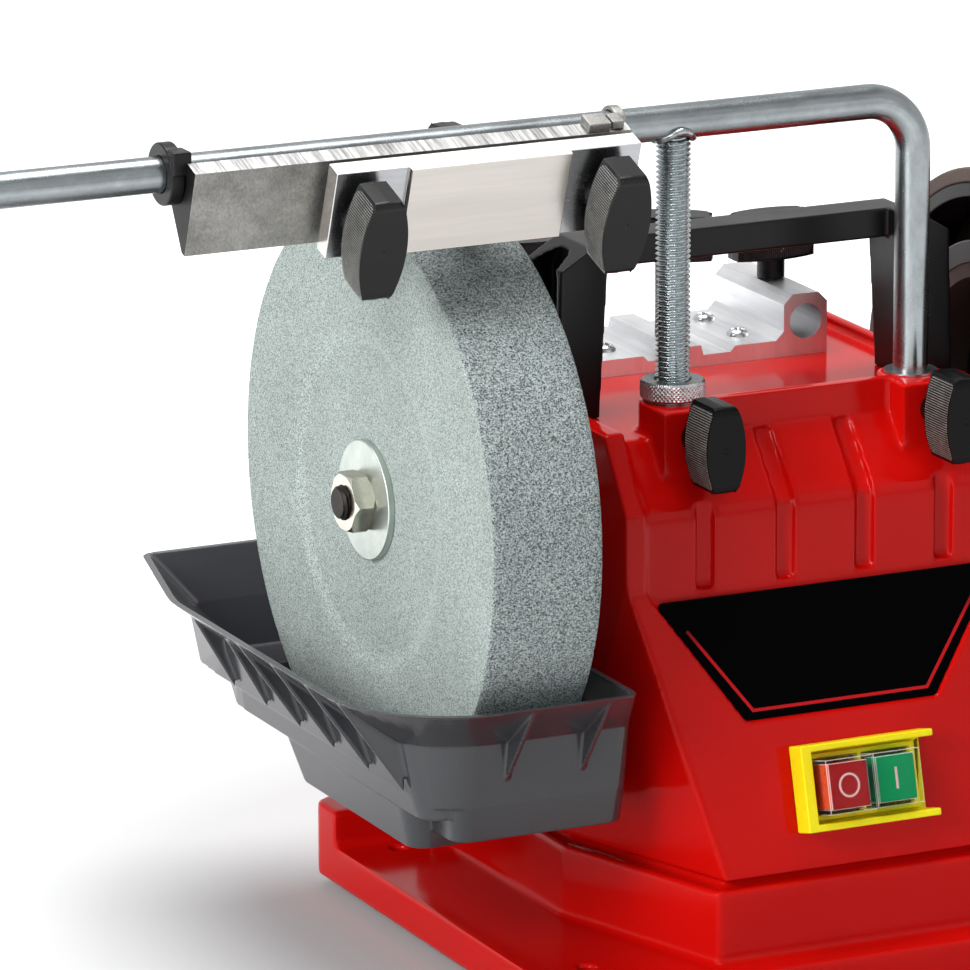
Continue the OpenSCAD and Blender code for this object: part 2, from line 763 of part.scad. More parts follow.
module jig_profile() {
    rod = [leg_y, rod_z];
    inwards = [cos(face_tilt), sin(face_tilt)];
    boss_w = 16;
    color(aluminium) difference() {
        union() {
            side_profile(jig_x, jig_x + jig_l, [face_top, face_low, face_low + 2.5 * inwards, [-36, 289],
                rod, face_top + jig_edge * inwards]);
            // Boss for the lock knob, under the rod
            translate([lock_knob_x - boss_w / 2, leg_y - 1, 279]) cube([boss_w, 10, 11.6]);
        }
        translate([0, leg_y, rod_z]) along_x(jig_x - 1, jig_x + jig_l + 1, jig_groove_r);
        on_jig_face() for (x = jig_knob_x) translate([x, jig_knob_v, -4]) cylinder(h = 10, r = stud_r);
        translate([lock_knob_x, leg_y + 2, lock_knob_z]) rotate([-90, 0, 0])
            cylinder(h = 20, r = stud_r + running);
    }
}

// Plastic end bush that runs on the rod
module jig_bush(x0, x1, r) {
    color(black) translate([0, leg_y, rod_z]) along_x(x0, x1, r, bore_r);
}

module jig_bush_left() { jig_bush(jig_x - 5, jig_x - 0.2, 10.4); }
module jig_bush_right() { jig_bush(jig_x + jig_l + 0.2, jig_x + jig_l + 4, 7.6); }

stud_out = bar_gap + bar_t + 10;

module jig_studs() {
    color(zinc) on_jig_face() for (x = jig_knob_x) translate([x, jig_knob_v, -3.9])
        cylinder(h = stud_out + 3.9, r = stud_r);
}

module jig_stops() {
    color(aluminium) on_jig_face() {
        translate([-86, face_len + 0.05, -7]) cube([8, 3.5, 7.1]);
        translate([-77, face_len + 0.05, -7]) cube([4.5, 3, 6]);
    }
}

module clamp_bar() {
    pocket_w = 26;
    color(aluminium) on_jig_face() translate([bar_x, jig_bar_v - bar_h / 2, bar_gap]) difference() {
        cube([bar_l, bar_h, bar_t]);
        for (x = [-1, bar_l - pocket_w]) translate([x, -1, bar_t - bar_pocket])
            cube([pocket_w + 1, bar_h + 2, bar_pocket + 1]);
        for (x = jig_knob_x) translate([x - bar_x, jig_knob_v - jig_bar_v + bar_h / 2, -1])
            cylinder(h = bar_t + 2, r = stud_r + 0.4);
    }
}

module jig_knob(x) {
    neck_h = 4;
    deep = 15;
    front_skin = 1.6;
    color(black) on_jig_face() translate([x, jig_knob_v, bar_gap + bar_t - bar_pocket + 0.1]) difference() {
        wing_grip(36.5, 16.5, 9.5, deep, 6, neck_h);
        translate([0, 0, -1]) cylinder(h = neck_h + deep - front_skin + 1, r = stud_r + running);
    }
}

module jig_knob_left() { jig_knob(jig_knob_x[0]); }
module jig_knob_right() { jig_knob(jig_knob_x[1]); }

module jig_lock_knob() {
    translate([lock_knob_x, leg_y + 9.3, lock_knob_z]) rotate([-90, 0, 0])
        wing_knob(26, 13, 8, 11, 5, 4, 6.5);
}

module front_knob(x) {
    translate([x, -57.3, front_knob_z]) rotate([90, 0, 0]) wing_knob(29.5, 14.5, 8, 17, 5.5, 6, 11);
}

module front_knob_left() { front_knob(-leg_x); }
module front_knob_right() { front_knob(leg_x); }

module mount_knob(x) {
    translate([x, mount_knob_y, top_z + mount_block_h + 0.3]) rotate([0, 0, 90])
        wing_knob(30, 14.5, 8, 16, 4.9, 7.5, 3.5);
}

module mount_knob_left() { mount_knob(-leg_x); }
module mount_knob_right() { mount_knob(leg_x); }

module centre_knob() {
    translate([0, centre_knob_y, top_z + 7.8]) rotate([0, 0, 60]) wing_knob(30, 14.5, 8, 16, 4.9, 28, 12);
}

// Drafted tub between an outline low down and one higher up. Each is [x0, x1, y0, y1, outer radius,
// outer X at the back, Y where the outer side starts to draw in]; its other corners have a small radius.
module tub(z0, low, z1, high, inset = 0) {
    thin = 0.1;
    small_r = 6 - inset;
    hull() for (level = [[z0, low], [z1 - thin, high]]) {
        b = level[1];
        r = b[4] - inset;
        for (y = [b[2] + inset + r, b[6]]) translate([b[0] + inset + r, y, level[0]])
            cylinder(h = thin, r = r, $fn = 48);
        for (p = [[b[5] + inset + small_r, b[3]], [b[1] - inset - small_r, b[3]]])
            translate([p[0], p[1] - inset - small_r, level[0]]) cylinder(h = thin, r = small_r, $fn = 32);
        translate([b[1] - inset - small_r, b[2] + inset + small_r, level[0]])
            cylinder(h = thin, r = small_r, $fn = 32);
    }
}

// Stacked tubs of the water tray, made smaller by inset all round and open upwards by lap
module tray_tubs(inset, lap) {
    waist_z = 79;
    front_z = 66;
    middle_z = 74.5;
    shallow_z = 83;
    break_top = tray_break_z + lap;
    waist_top = waist_z + lap;
    waist = [-152, -78.5, -75, 50, 16, -152, 34];
    tub(tray_break_z, tray_break, tray_rim_z + (inset > 0 ? lap : 0), tray_rim, inset);
    tub(waist_z, waist, break_top, [-157, -79, -79.5, 62, 22, -157, 40], inset);
    tub(front_z + inset, [-141, -78, -71, 30, 6, -141, 24], waist_top,
        [-143, -78.5, -75, 30, 6, -143, 24], inset);
    tub(tray_floor_z + inset, [-147, -84, -50, 44, 6, -147, 38], waist_top,
        [-152, -78.5, -54, 52, 8, -152, 44], inset);
    tub(middle_z + inset, [-151.5, -82.5, -70, 93, 8, -151, 80], break_top,
        [-159, -79, -70, 104, 12, -155, 70], inset);
    tub(shallow_z + inset, [-154, -82.5, -70, 120, 10, -153, 100], break_top,
        [tray_break[0], -79, -70, tray_break[3], 30, tray_break[5], tray_break[6]], inset);
}

module water_tray() {
    lap = 0.1;
    fin_t = 1.8;
    fin_low_z = 84;
    color(dark_grey) difference() {
        union() {
            tray_tubs(0, lap);
            // Fins under the left and front edges of the rim
            for (i = [-1 : 4]) translate([0, -32.5 + 28 * i, 0]) rotate([90, 0, 0]) linear_extrude(fin_t)
                polygon([[tray_rim[0] + (i > 2 ? 6 : 1.5), tray_rim_z - 1],
                    [tray_break[0] + 5, tray_rim_z - 1], [tray_break[0] + 5, fin_low_z]]);
            for (x = [-126, -98]) side_profile(x, x + fin_t, [[tray_rim[2] + 1, tray_rim_z - 1],
                [tray_break[2] + 2, tray_rim_z - 1], [-74, fin_low_z]]);
            // The two tabs that ride in the slots of the housing
            for (y = tray_tab_y) {
                translate([-81, y - tray_tab_w / 2, 84]) cube([9.5, tray_tab_w, 16]);
                translate([-72, y - tray_tab_w / 2 - 4, 84]) cube([3, tray_tab_w + 8, 16]);
            }
        }
        tray_tubs(tray_wall, 2 * lap);
    }
}

housing();
base();
feet();
base_screws();
label_panel();
switch_bezel();
switch_block();
button_red();
button_green();
cap_red();
cap_green();
handle();
handle_screws();
support_mount();
mount_screws();
sleeve_bush_left();
sleeve_bush_right();
bearing_left();
bearing_right();
motor_bracket();
motor_stator();
motor_end_caps();
motor_rotor();
motor_fan();
capacitor();
cable_gland();
spindle();
stone();
stone_flange();
stone_washer();
stone_nut();
stone_spacer();
wheel_spacer();
honing_wheel();
leather_strap();
drive_ring();
wheel_washer();
wheel_nut();
support_rod();
threaded_leg();
height_nut();
jig_profile();
jig_bush_left();
jig_bush_right();
jig_studs();
jig_stops();
clamp_bar();
jig_knob_left();
jig_knob_right();
jig_lock_knob();
front_knob_left();
front_knob_right();
mount_knob_left();
mount_knob_right();
centre_knob();
water_tray();
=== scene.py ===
"""Looks of a wet stone grinder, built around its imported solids."""

import math

import bmesh
import bpy
from mathutils import Matrix, Vector, noise


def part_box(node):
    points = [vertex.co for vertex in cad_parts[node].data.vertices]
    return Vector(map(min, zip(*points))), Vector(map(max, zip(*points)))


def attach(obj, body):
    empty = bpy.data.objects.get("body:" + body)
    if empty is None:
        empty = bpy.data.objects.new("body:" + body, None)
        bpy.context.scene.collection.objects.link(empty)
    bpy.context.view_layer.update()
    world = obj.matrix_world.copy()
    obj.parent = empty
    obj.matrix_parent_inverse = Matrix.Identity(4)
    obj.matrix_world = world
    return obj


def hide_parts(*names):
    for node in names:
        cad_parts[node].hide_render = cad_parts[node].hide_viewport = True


MM = 0.001
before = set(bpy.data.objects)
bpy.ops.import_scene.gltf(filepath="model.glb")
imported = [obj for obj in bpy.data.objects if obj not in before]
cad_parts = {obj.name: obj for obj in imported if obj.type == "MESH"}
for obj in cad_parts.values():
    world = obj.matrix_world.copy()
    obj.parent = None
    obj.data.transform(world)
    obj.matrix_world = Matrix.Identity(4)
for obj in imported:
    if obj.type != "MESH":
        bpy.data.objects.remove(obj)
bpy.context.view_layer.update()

# Places shared with the solids, in millimetres
LEG_X = 45.5
LEG_Y = -40.0
ROD_Z = 297.0
ROD_R = 6.0
SPINDLE_Z = 168.0
STONE_X = -141.0
STONE_IN_X = -101.0
STONE_R = 100.0
THREAD_PITCH = 1.75
LABEL_LOW = Vector((0, -76.6, 96.6))
APRON_LEAN = math.radians(14.9)
APRON_UP = Vector((0, math.sin(APRON_LEAN), math.cos(APRON_LEAN)))
APRON_OUT = Vector((0, -math.cos(APRON_LEAN), math.sin(APRON_LEAN)))
FACE_LOW = Vector((0, -47.9, 270.7))
FACE_TOP = Vector((0, -58, 300))
FACE_UP = (FACE_TOP - FACE_LOW).normalized()
FACE_OUT = Vector((1, 0, 0)).cross(FACE_UP)
BAR_FACE_W = 13.5

# Depth of the relief that a finish draws, in metres
SKIN_DEPTH = 0.0002
GRIT_DEPTH = 0.0004

FLOAT = "NodeSocketFloat"
COLOR = "NodeSocketColor"
VECTOR = "NodeSocketVector"
GROUPS = {}
FINISH = {}


# Camera of the photograph

def photo_camera():
    """The photograph's camera, from its place, direction and roll."""
    place = Vector((-1198.8, -2320.4, 841.0)) * MM
    yaw = math.radians(25.41)
    pitch = math.radians(14.68)
    roll = math.radians(-0.14)
    forward = Vector((math.sin(yaw) * math.cos(pitch), math.cos(yaw) * math.cos(pitch), -math.sin(pitch)))
    level = Vector((math.cos(yaw), -math.sin(yaw), 0))
    upright = level.cross(forward)
    right = level * math.cos(roll) + upright * math.sin(roll)
    up = upright * math.cos(roll) - level * math.sin(roll)
    data = bpy.data.cameras.new("photo_camera")
    data.lens = 290.1
    data.sensor_width = 36
    data.clip_start = 0.05
    data.clip_end = 60
    camera = bpy.data.objects.new("photo_camera", data)
    turn = Matrix((right, up, -forward)).transposed().to_4x4()
    camera.matrix_world = Matrix.Translation(place) @ turn
    bpy.context.scene.collection.objects.link(camera)
    bpy.context.scene.camera = camera


# Shader nodes

def srgb(r, g, b):
    """A linear colour from the usual 0 to 255 values."""
    def linear(c):
        c = c / 255
        return c / 12.92 if c <= 0.04045 else ((c + 0.055) / 1.055) ** 2.4

    return (linear(r), linear(g), linear(b), 1)


def node(tree, kind, links=(), **values):
    """A node whose properties come from values; links pairs its input names with sockets or numbers."""
    made = tree.nodes.new(kind)
    for key, value in values.items():
        setattr(made, key, value)
    for key, value in links:
        if isinstance(value, bpy.types.NodeSocket):
            tree.links.new(value, made.inputs[key])
        else:
            made.inputs[key].default_value = value
    return made


def object_place(tree):
    """Coordinates in the part's own frame, in metres."""
    return node(tree, "ShaderNodeTexCoord").outputs["Object"]


def arithmetic(tree, operation, a, b):
    """The result of one step on two sockets or numbers."""
    return node(tree, "ShaderNodeMath", [(0, a), (1, b)], operation=operation).outputs[0]


def vector_step(tree, operation, *links):
    """The outputs of one step on vectors."""
    return node(tree, "ShaderNodeVectorMath", links, operation=operation).outputs


def ramp_between(tree, value, low, high, from_low, from_high):
    """A value carried over from one range to another, and held at its ends."""
    made = node(tree, "ShaderNodeMapRange",
                [("Value", value), ("From Min", from_low), ("From Max", from_high),
                 ("To Min", low), ("To Max", high)])
    return made.outputs[0]


def noise_field(tree, place, scale, detail, roughness=0.5):
    """Cloudy noise from 0 to 1."""
    made = node(tree, "ShaderNodeTexNoise", [("Vector", place), ("Scale", scale), ("Detail", detail),
                                             ("Roughness", roughness)])
    return made.outputs["Fac"]


def mixed_tone(tree, mask, low, high):
    """A colour between two, by a mask from 0 to 1."""
    return node(tree, "ShaderNodeMix", [(0, mask), (6, low), (7, high)], data_type="RGBA").outputs[2]


# Light, floor and background

def area_light(name, place, size, watts):
    """A round lamp that looks at the middle of the object."""
    target = Vector((-0.05, 0, 0.15))
    data = bpy.data.lights.new(name, "AREA")
    data.shape = "DISK"
    data.size = size
    data.energy = watts
    lamp = bpy.data.objects.new(name, data)
    lamp.location = place
    lamp.rotation_euler = (target - Vector(place)).to_track_quat("-Z", "Y").to_euler()
    bpy.context.scene.collection.objects.link(lamp)


def lamps():
    """A main lamp at the left, a soft one above, and two weak ones."""
    area_light("key_left", (-1.7, -0.55, 1.0), size=0.9, watts=27)
    area_light("top_soft", (-0.1, 0.2, 1.7), size=1.2, watts=30)
    area_light("front_right", (1.0, -1.7, 0.75), size=0.9, watts=1.0)
    area_light("low_left", (-1.6, -1.0, 0.35), size=0.7, watts=4.5)


def seen_directly(tree):
    """A mask of the rays that should see the white background: camera, glossy and transmission rays."""
    ray = node(tree, "ShaderNodeLightPath").outputs
    seen_or_shown = arithmetic(tree, "MAXIMUM", ray["Is Camera Ray"], ray["Is Glossy Ray"])
    return arithmetic(tree, "MAXIMUM", seen_or_shown, ray["Is Transmission Ray"])


def studio_world():
    """White walls and a ceiling that metal shows darker, and a plain level of light on the object."""
    world = bpy.data.worlds.new("studio")
    world.use_nodes = True
    bpy.context.scene.world = world
    tree = world.node_tree
    tree.nodes.clear()
    lit = node(tree, "ShaderNodeBackground", [("Color", (0.93, 0.96, 1.0, 1)), ("Strength", 0.33)])
    direction = node(tree, "ShaderNodeTexCoord").outputs["Generated"]
    height = node(tree, "ShaderNodeSeparateXYZ", [(0, direction)]).outputs["Z"]
    level = ramp_between(tree, height, 1.0, 0.3, 0.7, 0.9)
    white = node(tree, "ShaderNodeBackground", [("Strength", level)])
    mix = node(tree, "ShaderNodeMixShader", [(0, seen_directly(tree)), (1, lit.outputs[0]),
                                             (2, white.outputs[0])])
    node(tree, "ShaderNodeOutputWorld", [("Surface", mix.outputs[0])])


def paper_floor():
    """Paper that glows towards its far edges and stays plain round the object, where its shadow lies."""
    reach = 12
    below = 0.0002
    mesh = bpy.data.meshes.new("floor")
    corners = [(-reach, -reach, 0), (reach, -reach, 0), (reach, reach, 0), (-reach, reach, 0)]
    mesh.from_pydata(corners, [], [(0, 1, 2, 3)])
    floor = bpy.data.objects.new("floor", mesh)
    floor.location.z = -below
    bpy.context.scene.collection.objects.link(floor)
    paper = bpy.data.materials.new("floor_paper")
    paper.use_nodes = True
    tree = paper.node_tree
    tree.nodes.clear()
    matt = node(tree, "ShaderNodeBsdfDiffuse", [("Color", (0.6, 0.6, 0.6, 1))])
    distance = vector_step(tree, "LENGTH", (0, object_place(tree)))["Value"]
    level = ramp_between(tree, distance, 0.0, 0.95, 0.22, 0.6)
    lift = arithmetic(tree, "MULTIPLY", level, seen_directly(tree))
    glow = node(tree, "ShaderNodeEmission", [("Strength", lift)])
    add = node(tree, "ShaderNodeAddShader", [(0, matt.outputs[0]), (1, glow.outputs[0])])
    node(tree, "ShaderNodeOutputMaterial", [("Surface", add.outputs[0])])
    mesh.materials.append(paper)


def studio():
    bpy.context.scene.view_settings.view_transform = "Standard"
    studio_world()
    lamps()
    paper_floor()


# Shader node groups shared by the finishes

def new_group(name, inputs, outputs):
    """A group with its tree, the sockets that bring its inputs in and those that take its outputs."""
    tree = bpy.data.node_groups.new(name, "ShaderNodeTree")
    for label, kind, value in inputs:
        socket = tree.interface.new_socket(name=label, in_out="INPUT", socket_type=kind)
        socket.default_value = value
    for label, kind in outputs:
        tree.interface.new_socket(name=label, in_out="OUTPUT", socket_type=kind)
    source = tree.nodes.new("NodeGroupInput")
    sink = tree.nodes.new("NodeGroupOutput")
    return tree, source.outputs, sink.inputs


def marks_group():
    """Handling marks: slow cloudy change between two levels."""
    tree, source, sink = new_group("handling_marks",
                                   [("Scale", FLOAT, 40.0), ("Low", FLOAT, 0.3), ("High", FLOAT, 0.5)],
                                   [("Value", FLOAT)])
    cloud = noise_field(tree, object_place(tree), source["Scale"], 6.0, 0.62)
    tree.links.new(ramp_between(tree, cloud, source["Low"], source["High"], 0.3, 0.7), sink["Value"])
    return tree


def skin_group():
    """Moulded skin: fine even relief."""
    tree, source, sink = new_group("moulded_skin", [("Scale", FLOAT, 900.0)], [("Height", FLOAT)])
    tree.links.new(noise_field(tree, object_place(tree), source["Scale"], 3.0), sink["Height"])
    return tree


def lines_group():
    """Tool lines: noise drawn out along one axis."""
    tree, source, sink = new_group("tool_lines", [("Stretch", VECTOR, (1, 1, 1)), ("Scale", FLOAT, 60.0)],
                                   [("Height", FLOAT), ("Mask", FLOAT)])
    place = vector_step(tree, "MULTIPLY", (0, object_place(tree)), (1, source["Stretch"]))[0]
    lines = noise_field(tree, place, source["Scale"], 5.0, 0.7)
    tree.links.new(lines, sink["Height"])
    tree.links.new(ramp_between(tree, lines, 0.0, 1.0, 0.35, 0.65), sink["Mask"])
    return tree


def grit_group():
    """Grit: abrasive grains of mixed tone with their own relief."""
    tree, source, sink = new_group("grit",
                                   [("Scale", FLOAT, 900.0), ("Light", COLOR, (1, 1, 1, 1)),
                                    ("Middle", COLOR, (0.5, 0.5, 0.5, 1)), ("Dark", COLOR, (0, 0, 0, 1))],
                                   [("Color", COLOR), ("Height", FLOAT)])
    place = object_place(tree)
    grains = node(tree, "ShaderNodeTexVoronoi", [("Vector", place), ("Scale", source["Scale"])])
    tone = node(tree, "ShaderNodeSeparateColor", [(0, grains.outputs["Color"])]).outputs[0]
    blend = arithmetic(tree, "MULTIPLY", tone, noise_field(tree, place, source["Scale"], 4.0, 0.75))
    deep = ramp_between(tree, blend, 0.0, 1.0, 0.02, 0.32)
    pale = ramp_between(tree, blend, 0.0, 1.0, 0.28, 0.62)
    grain = mixed_tone(tree, deep, source["Dark"], source["Middle"])
    tree.links.new(mixed_tone(tree, pale, grain, source["Light"]), sink["Color"])
    tree.links.new(blend, sink["Height"])
    return tree


def edge_highlight_group():
    """Painted edge highlight: a mask that is high on convex edges, broken up by noise."""
    tree, source, sink = new_group("painted_edge_highlight", [("Start", FLOAT, 0.53), ("End", FLOAT, 0.6)],
                                   [("Mask", FLOAT)])
    bend = node(tree, "ShaderNodeNewGeometry").outputs["Pointiness"]
    edge = ramp_between(tree, bend, 0.0, 1.0, source["Start"], source["End"])
    broken = noise_field(tree, object_place(tree), 250.0, 4.0)
    tree.links.new(arithmetic(tree, "MULTIPLY", edge, broken), sink["Mask"])
    return tree


def make_groups():
    GROUPS["marks"] = marks_group()
    GROUPS["skin"] = skin_group()
    GROUPS["lines"] = lines_group()
    GROUPS["grit"] = grit_group()
    GROUPS["edges"] = edge_highlight_group()


# Finishes

def placed(tree, name, **values):
    """The outputs of a shared group, placed with its own values."""
    made = tree.nodes.new("ShaderNodeGroup")
    made.node_tree = GROUPS[name]
    for key, value in values.items():
        made.inputs[key].default_value = value
    return made.outputs


def new_finish(name, **values):
    """A material with its Principled shader; a value sets the socket of its name, _ standing for a space."""
    made = bpy.data.materials.new(name)
    made.use_nodes = True
    shader = made.node_tree.nodes["Principled BSDF"]
    for key, value in values.items():
        shader.inputs[key.replace("_", " ")].default_value = value
    return made, made.node_tree, shader


def bump(tree, shader, height, strength, depth):
    """Relief from a height, on the shader's normal."""
    made = node(tree, "ShaderNodeBump", [("Height", height), ("Strength", strength), ("Distance", depth)])
    tree.links.new(made.outputs[0], shader.inputs["Normal"])


def tone_between(tree, shader, mask, low, high):
    """A base colour between two tones, by a mask."""
    tree.links.new(mixed_tone(tree, mask, low, high), shader.inputs["Base Color"])


def uneven(tree, shader, socket, scale, levels):
    """Handling marks that change a socket of the shader between two levels."""
    marks = placed(tree, "marks", Scale=scale, Low=levels[0], High=levels[1])
    tree.links.new(marks["Value"], shader.inputs[socket])


def shaded(tree, shader, tone, level):
    """A tone made lighter and darker by a level about 1."""
    tree.links.new(vector_step(tree, "SCALE", (0, tone), ("Scale", level))[0], shader.inputs["Base Color"])


def plastic(name, low, high, rough, relief, cloud=30.0, skin=900.0, **values):
    """Moulded plastic: two close tones, uneven gloss and a fine skin."""
    made, tree, shader = new_finish(name, **values)
    uneven(tree, shader, "Roughness", cloud, rough)
    tint = placed(tree, "marks", Scale=cloud * 0.6, Low=0.0, High=1.0)
    tone_between(tree, shader, tint["Value"], low, high)
    bump(tree, shader, placed(tree, "skin", Scale=skin)["Height"], relief, SKIN_DEPTH)
    return made


def metal(name, tone, spread, rough, stretch, scale, relief, stain=0.0):
    """Metal of one linear tone, with tool lines along one axis, handling marks and cloudy stains."""
    made, tree, shader = new_finish(name, Metallic=1.0)
    lines = placed(tree, "lines", Stretch=stretch, Scale=scale)
    low = [min(1, c * (1 - spread)) for c in tone] + [1]
    high = [min(1, c * (1 + spread)) for c in tone] + [1]
    cloud = placed(tree, "marks", Scale=90.0, Low=1 - stain, High=1 + stain)
    shaded(tree, shader, mixed_tone(tree, lines["Mask"], low, high), cloud["Value"])
    uneven(tree, shader, "Roughness", 55.0, rough)
    bump(tree, shader, lines["Height"], relief, SKIN_DEPTH)
    return made


def stone_finish(name, scale, light, middle, dark, relief, ring=0.0):
    """Bonded grit with a slow change of tone over the wheel, and a painted highlight: a paler ring on the
    slope of its recess.
    """
    made, tree, shader = new_finish(name, Roughness=0.92, Specular_IOR_Level=0.2)
    grit = placed(tree, "grit", Scale=scale, Light=light, Middle=middle, Dark=dark)
    cloud = placed(tree, "marks", Scale=22.0, Low=0.9, High=1.06)
    from_axis = vector_step(tree, "ADD", (0, object_place(tree)), (1, (0, 0, -SPINDLE_Z * MM)))[0]
    across = vector_step(tree, "MULTIPLY", (0, from_axis), (1, (0, 1, 1)))[0]
    radius = vector_step(tree, "LENGTH", (0, across))["Value"]
    # The paler ring on the recess slope is a painted highlight.
    rise_r = (0.051, 0.055)
    fall_r = (0.057, 0.062)
    inner = ramp_between(tree, radius, 0.0, ring, *rise_r)
    outer = ramp_between(tree, radius, ring, 0.0, *fall_r)
    pale = arithmetic(tree, "MINIMUM", inner, outer)
    shaded(tree, shader, grit["Color"], arithmetic(tree, "ADD", cloud["Value"], pale))
    bump(tree, shader, grit["Height"], relief, GRIT_DEPTH)
    return made


def knurl_finish():
    """Black plastic whose fine points are painted bright: a painted highlight on the knurl's tips."""
    made, tree, shader = new_finish("black_knurl", Specular_IOR_Level=0.5)
    edges = placed(tree, "edges", Start=0.5, End=0.54)
    # The pale tone on the convex points is a painted highlight.
    tone_between(tree, shader, edges["Mask"], srgb(20, 20, 21), srgb(158, 158, 152))
    uneven(tree, shader, "Roughness", 60.0, (0.3, 0.42))
    return made


def pinstripe_finish(fade_low, fade_high):
    """Thin red line that fades into the black field between two heights."""
    made, tree, shader = new_finish("pinstripe_red", Specular_IOR_Level=0.1)
    height = node(tree, "ShaderNodeSeparateXYZ", [(0, object_place(tree))]).outputs["Z"]
    fade = ramp_between(tree, height, 0.0, 1.0, fade_low, fade_high)
    tone_between(tree, shader, fade, srgb(196, 24, 30), srgb(3, 3, 4))
    uneven(tree, shader, "Roughness", 80.0, (0.3, 0.4))
    return made


def clear_finish(name, haze_and_sheen):
    """Clear plastic with a pale film between two levels, and faint marks; the film is a faint haze on the
    caps and a painted highlight on their rounded edges.
    """
    made, tree, shader = new_finish(name, Base_Color=(0.95, 0.93, 0.92, 1), Roughness=0.08)
    uneven(tree, shader, "Alpha", 80.0, haze_and_sheen)
    return made


def plastics():
    """Each with its two tones, roughness and relief."""
    key_gloss = (0.25, 0.35)
    return {
        "red": plastic("red_gloss", srgb(192, 9, 5), srgb(200, 12, 7), (0.09, 0.16), 0.025,
                       Specular_IOR_Level=0.11),
        "black": plastic("black_satin", srgb(13, 13, 14), srgb(19, 19, 20), (0.3, 0.42), 0.12,
                         skin=1400.0, Specular_IOR_Level=0.24),
        # Near black for the jig's left end face: painted shade.
        "jig_end_painted_shade": plastic("jig_end_painted_shade", srgb(9, 9, 10), srgb(15, 15, 16), (0.35, 0.5), 0.2,
                           Specular_IOR_Level=0.2),
        "black_grip": plastic("black_grip", srgb(16, 16, 16), srgb(23, 22, 22), (0.24, 0.34), 0.08,
                              skin=1600.0, Specular_IOR_Level=0.28),
        "black_deep": plastic("black_deep", srgb(9, 9, 9), srgb(14, 13, 13), (0.2, 0.3), 0.06,
                              skin=1600.0, Specular_IOR_Level=0.1),
        "knurl": knurl_finish(),
        "label": plastic("label_black", srgb(2, 2, 3), srgb(4, 4, 5), (0.3, 0.4), 0.02,
                         Specular_IOR_Level=0.01),
        "pinstripe": pinstripe_finish(fade_low=0.122, fade_high=0.133),
        "yellow": plastic("yellow_gloss", srgb(248, 236, 28), srgb(246, 226, 18), key_gloss, 0.04,
                          Specular_IOR_Level=0.2, Subsurface_Weight=0.4, Subsurface_Scale=0.004),
        "button_red": plastic("button_red", srgb(148, 14, 18), srgb(158, 20, 22), key_gloss, 0.03,
                              Specular_IOR_Level=0.06),
        # Painted light: a paler orange for the red key's left side, which faces the lamp at the left.
        "button_painted_glow": plastic("button_painted_glow", srgb(206, 62, 34), srgb(218, 78, 42), key_gloss, 0.03),
        "button_green": plastic("button_green", srgb(0, 132, 76), srgb(0, 142, 84), key_gloss, 0.03,
                                Specular_IOR_Level=0.06),
        "mark": plastic("mark_white", srgb(226, 190, 188), srgb(216, 174, 172), (0.4, 0.5), 0.03),
        "grey": plastic("grey_gloss", srgb(52, 53, 56), srgb(58, 59, 63), (0.12, 0.2), 0.03,
                        Specular_IOR_Level=0.65),
        "clear": clear_finish("clear_cap", (0.0, 0.012)),
        # Painted highlight on the caps' rounded edges.
        "clear_edge_highlight": clear_finish("clear_edge_highlight", (0.3, 0.5)),
    }


def rubber_and_leather():
    """Each with its two tones, roughness and relief."""
    return {
        "rubber": plastic("rubber_matt", srgb(22, 22, 22), srgb(32, 31, 30), (0.7, 0.85), 0.35),
        "ring_rubber": plastic("ring_rubber", srgb(70, 57, 53), srgb(86, 71, 66), (0.6, 0.75), 0.3),
        "wheel_ring": plastic("wheel_ring", srgb(98, 89, 86), srgb(114, 104, 101), (0.5, 0.65), 0.2),
        "leather": plastic("leather_edge", srgb(78, 66, 60), srgb(98, 86, 80), (0.6, 0.75), 0.6,
                           cloud=60.0, skin=700.0),
        "leather_nap": plastic("leather_nap", srgb(104, 78, 58), srgb(134, 102, 76), (0.75, 0.9), 1.0,
                               cloud=120.0, skin=420.0, Specular_IOR_Level=0.2),
    }


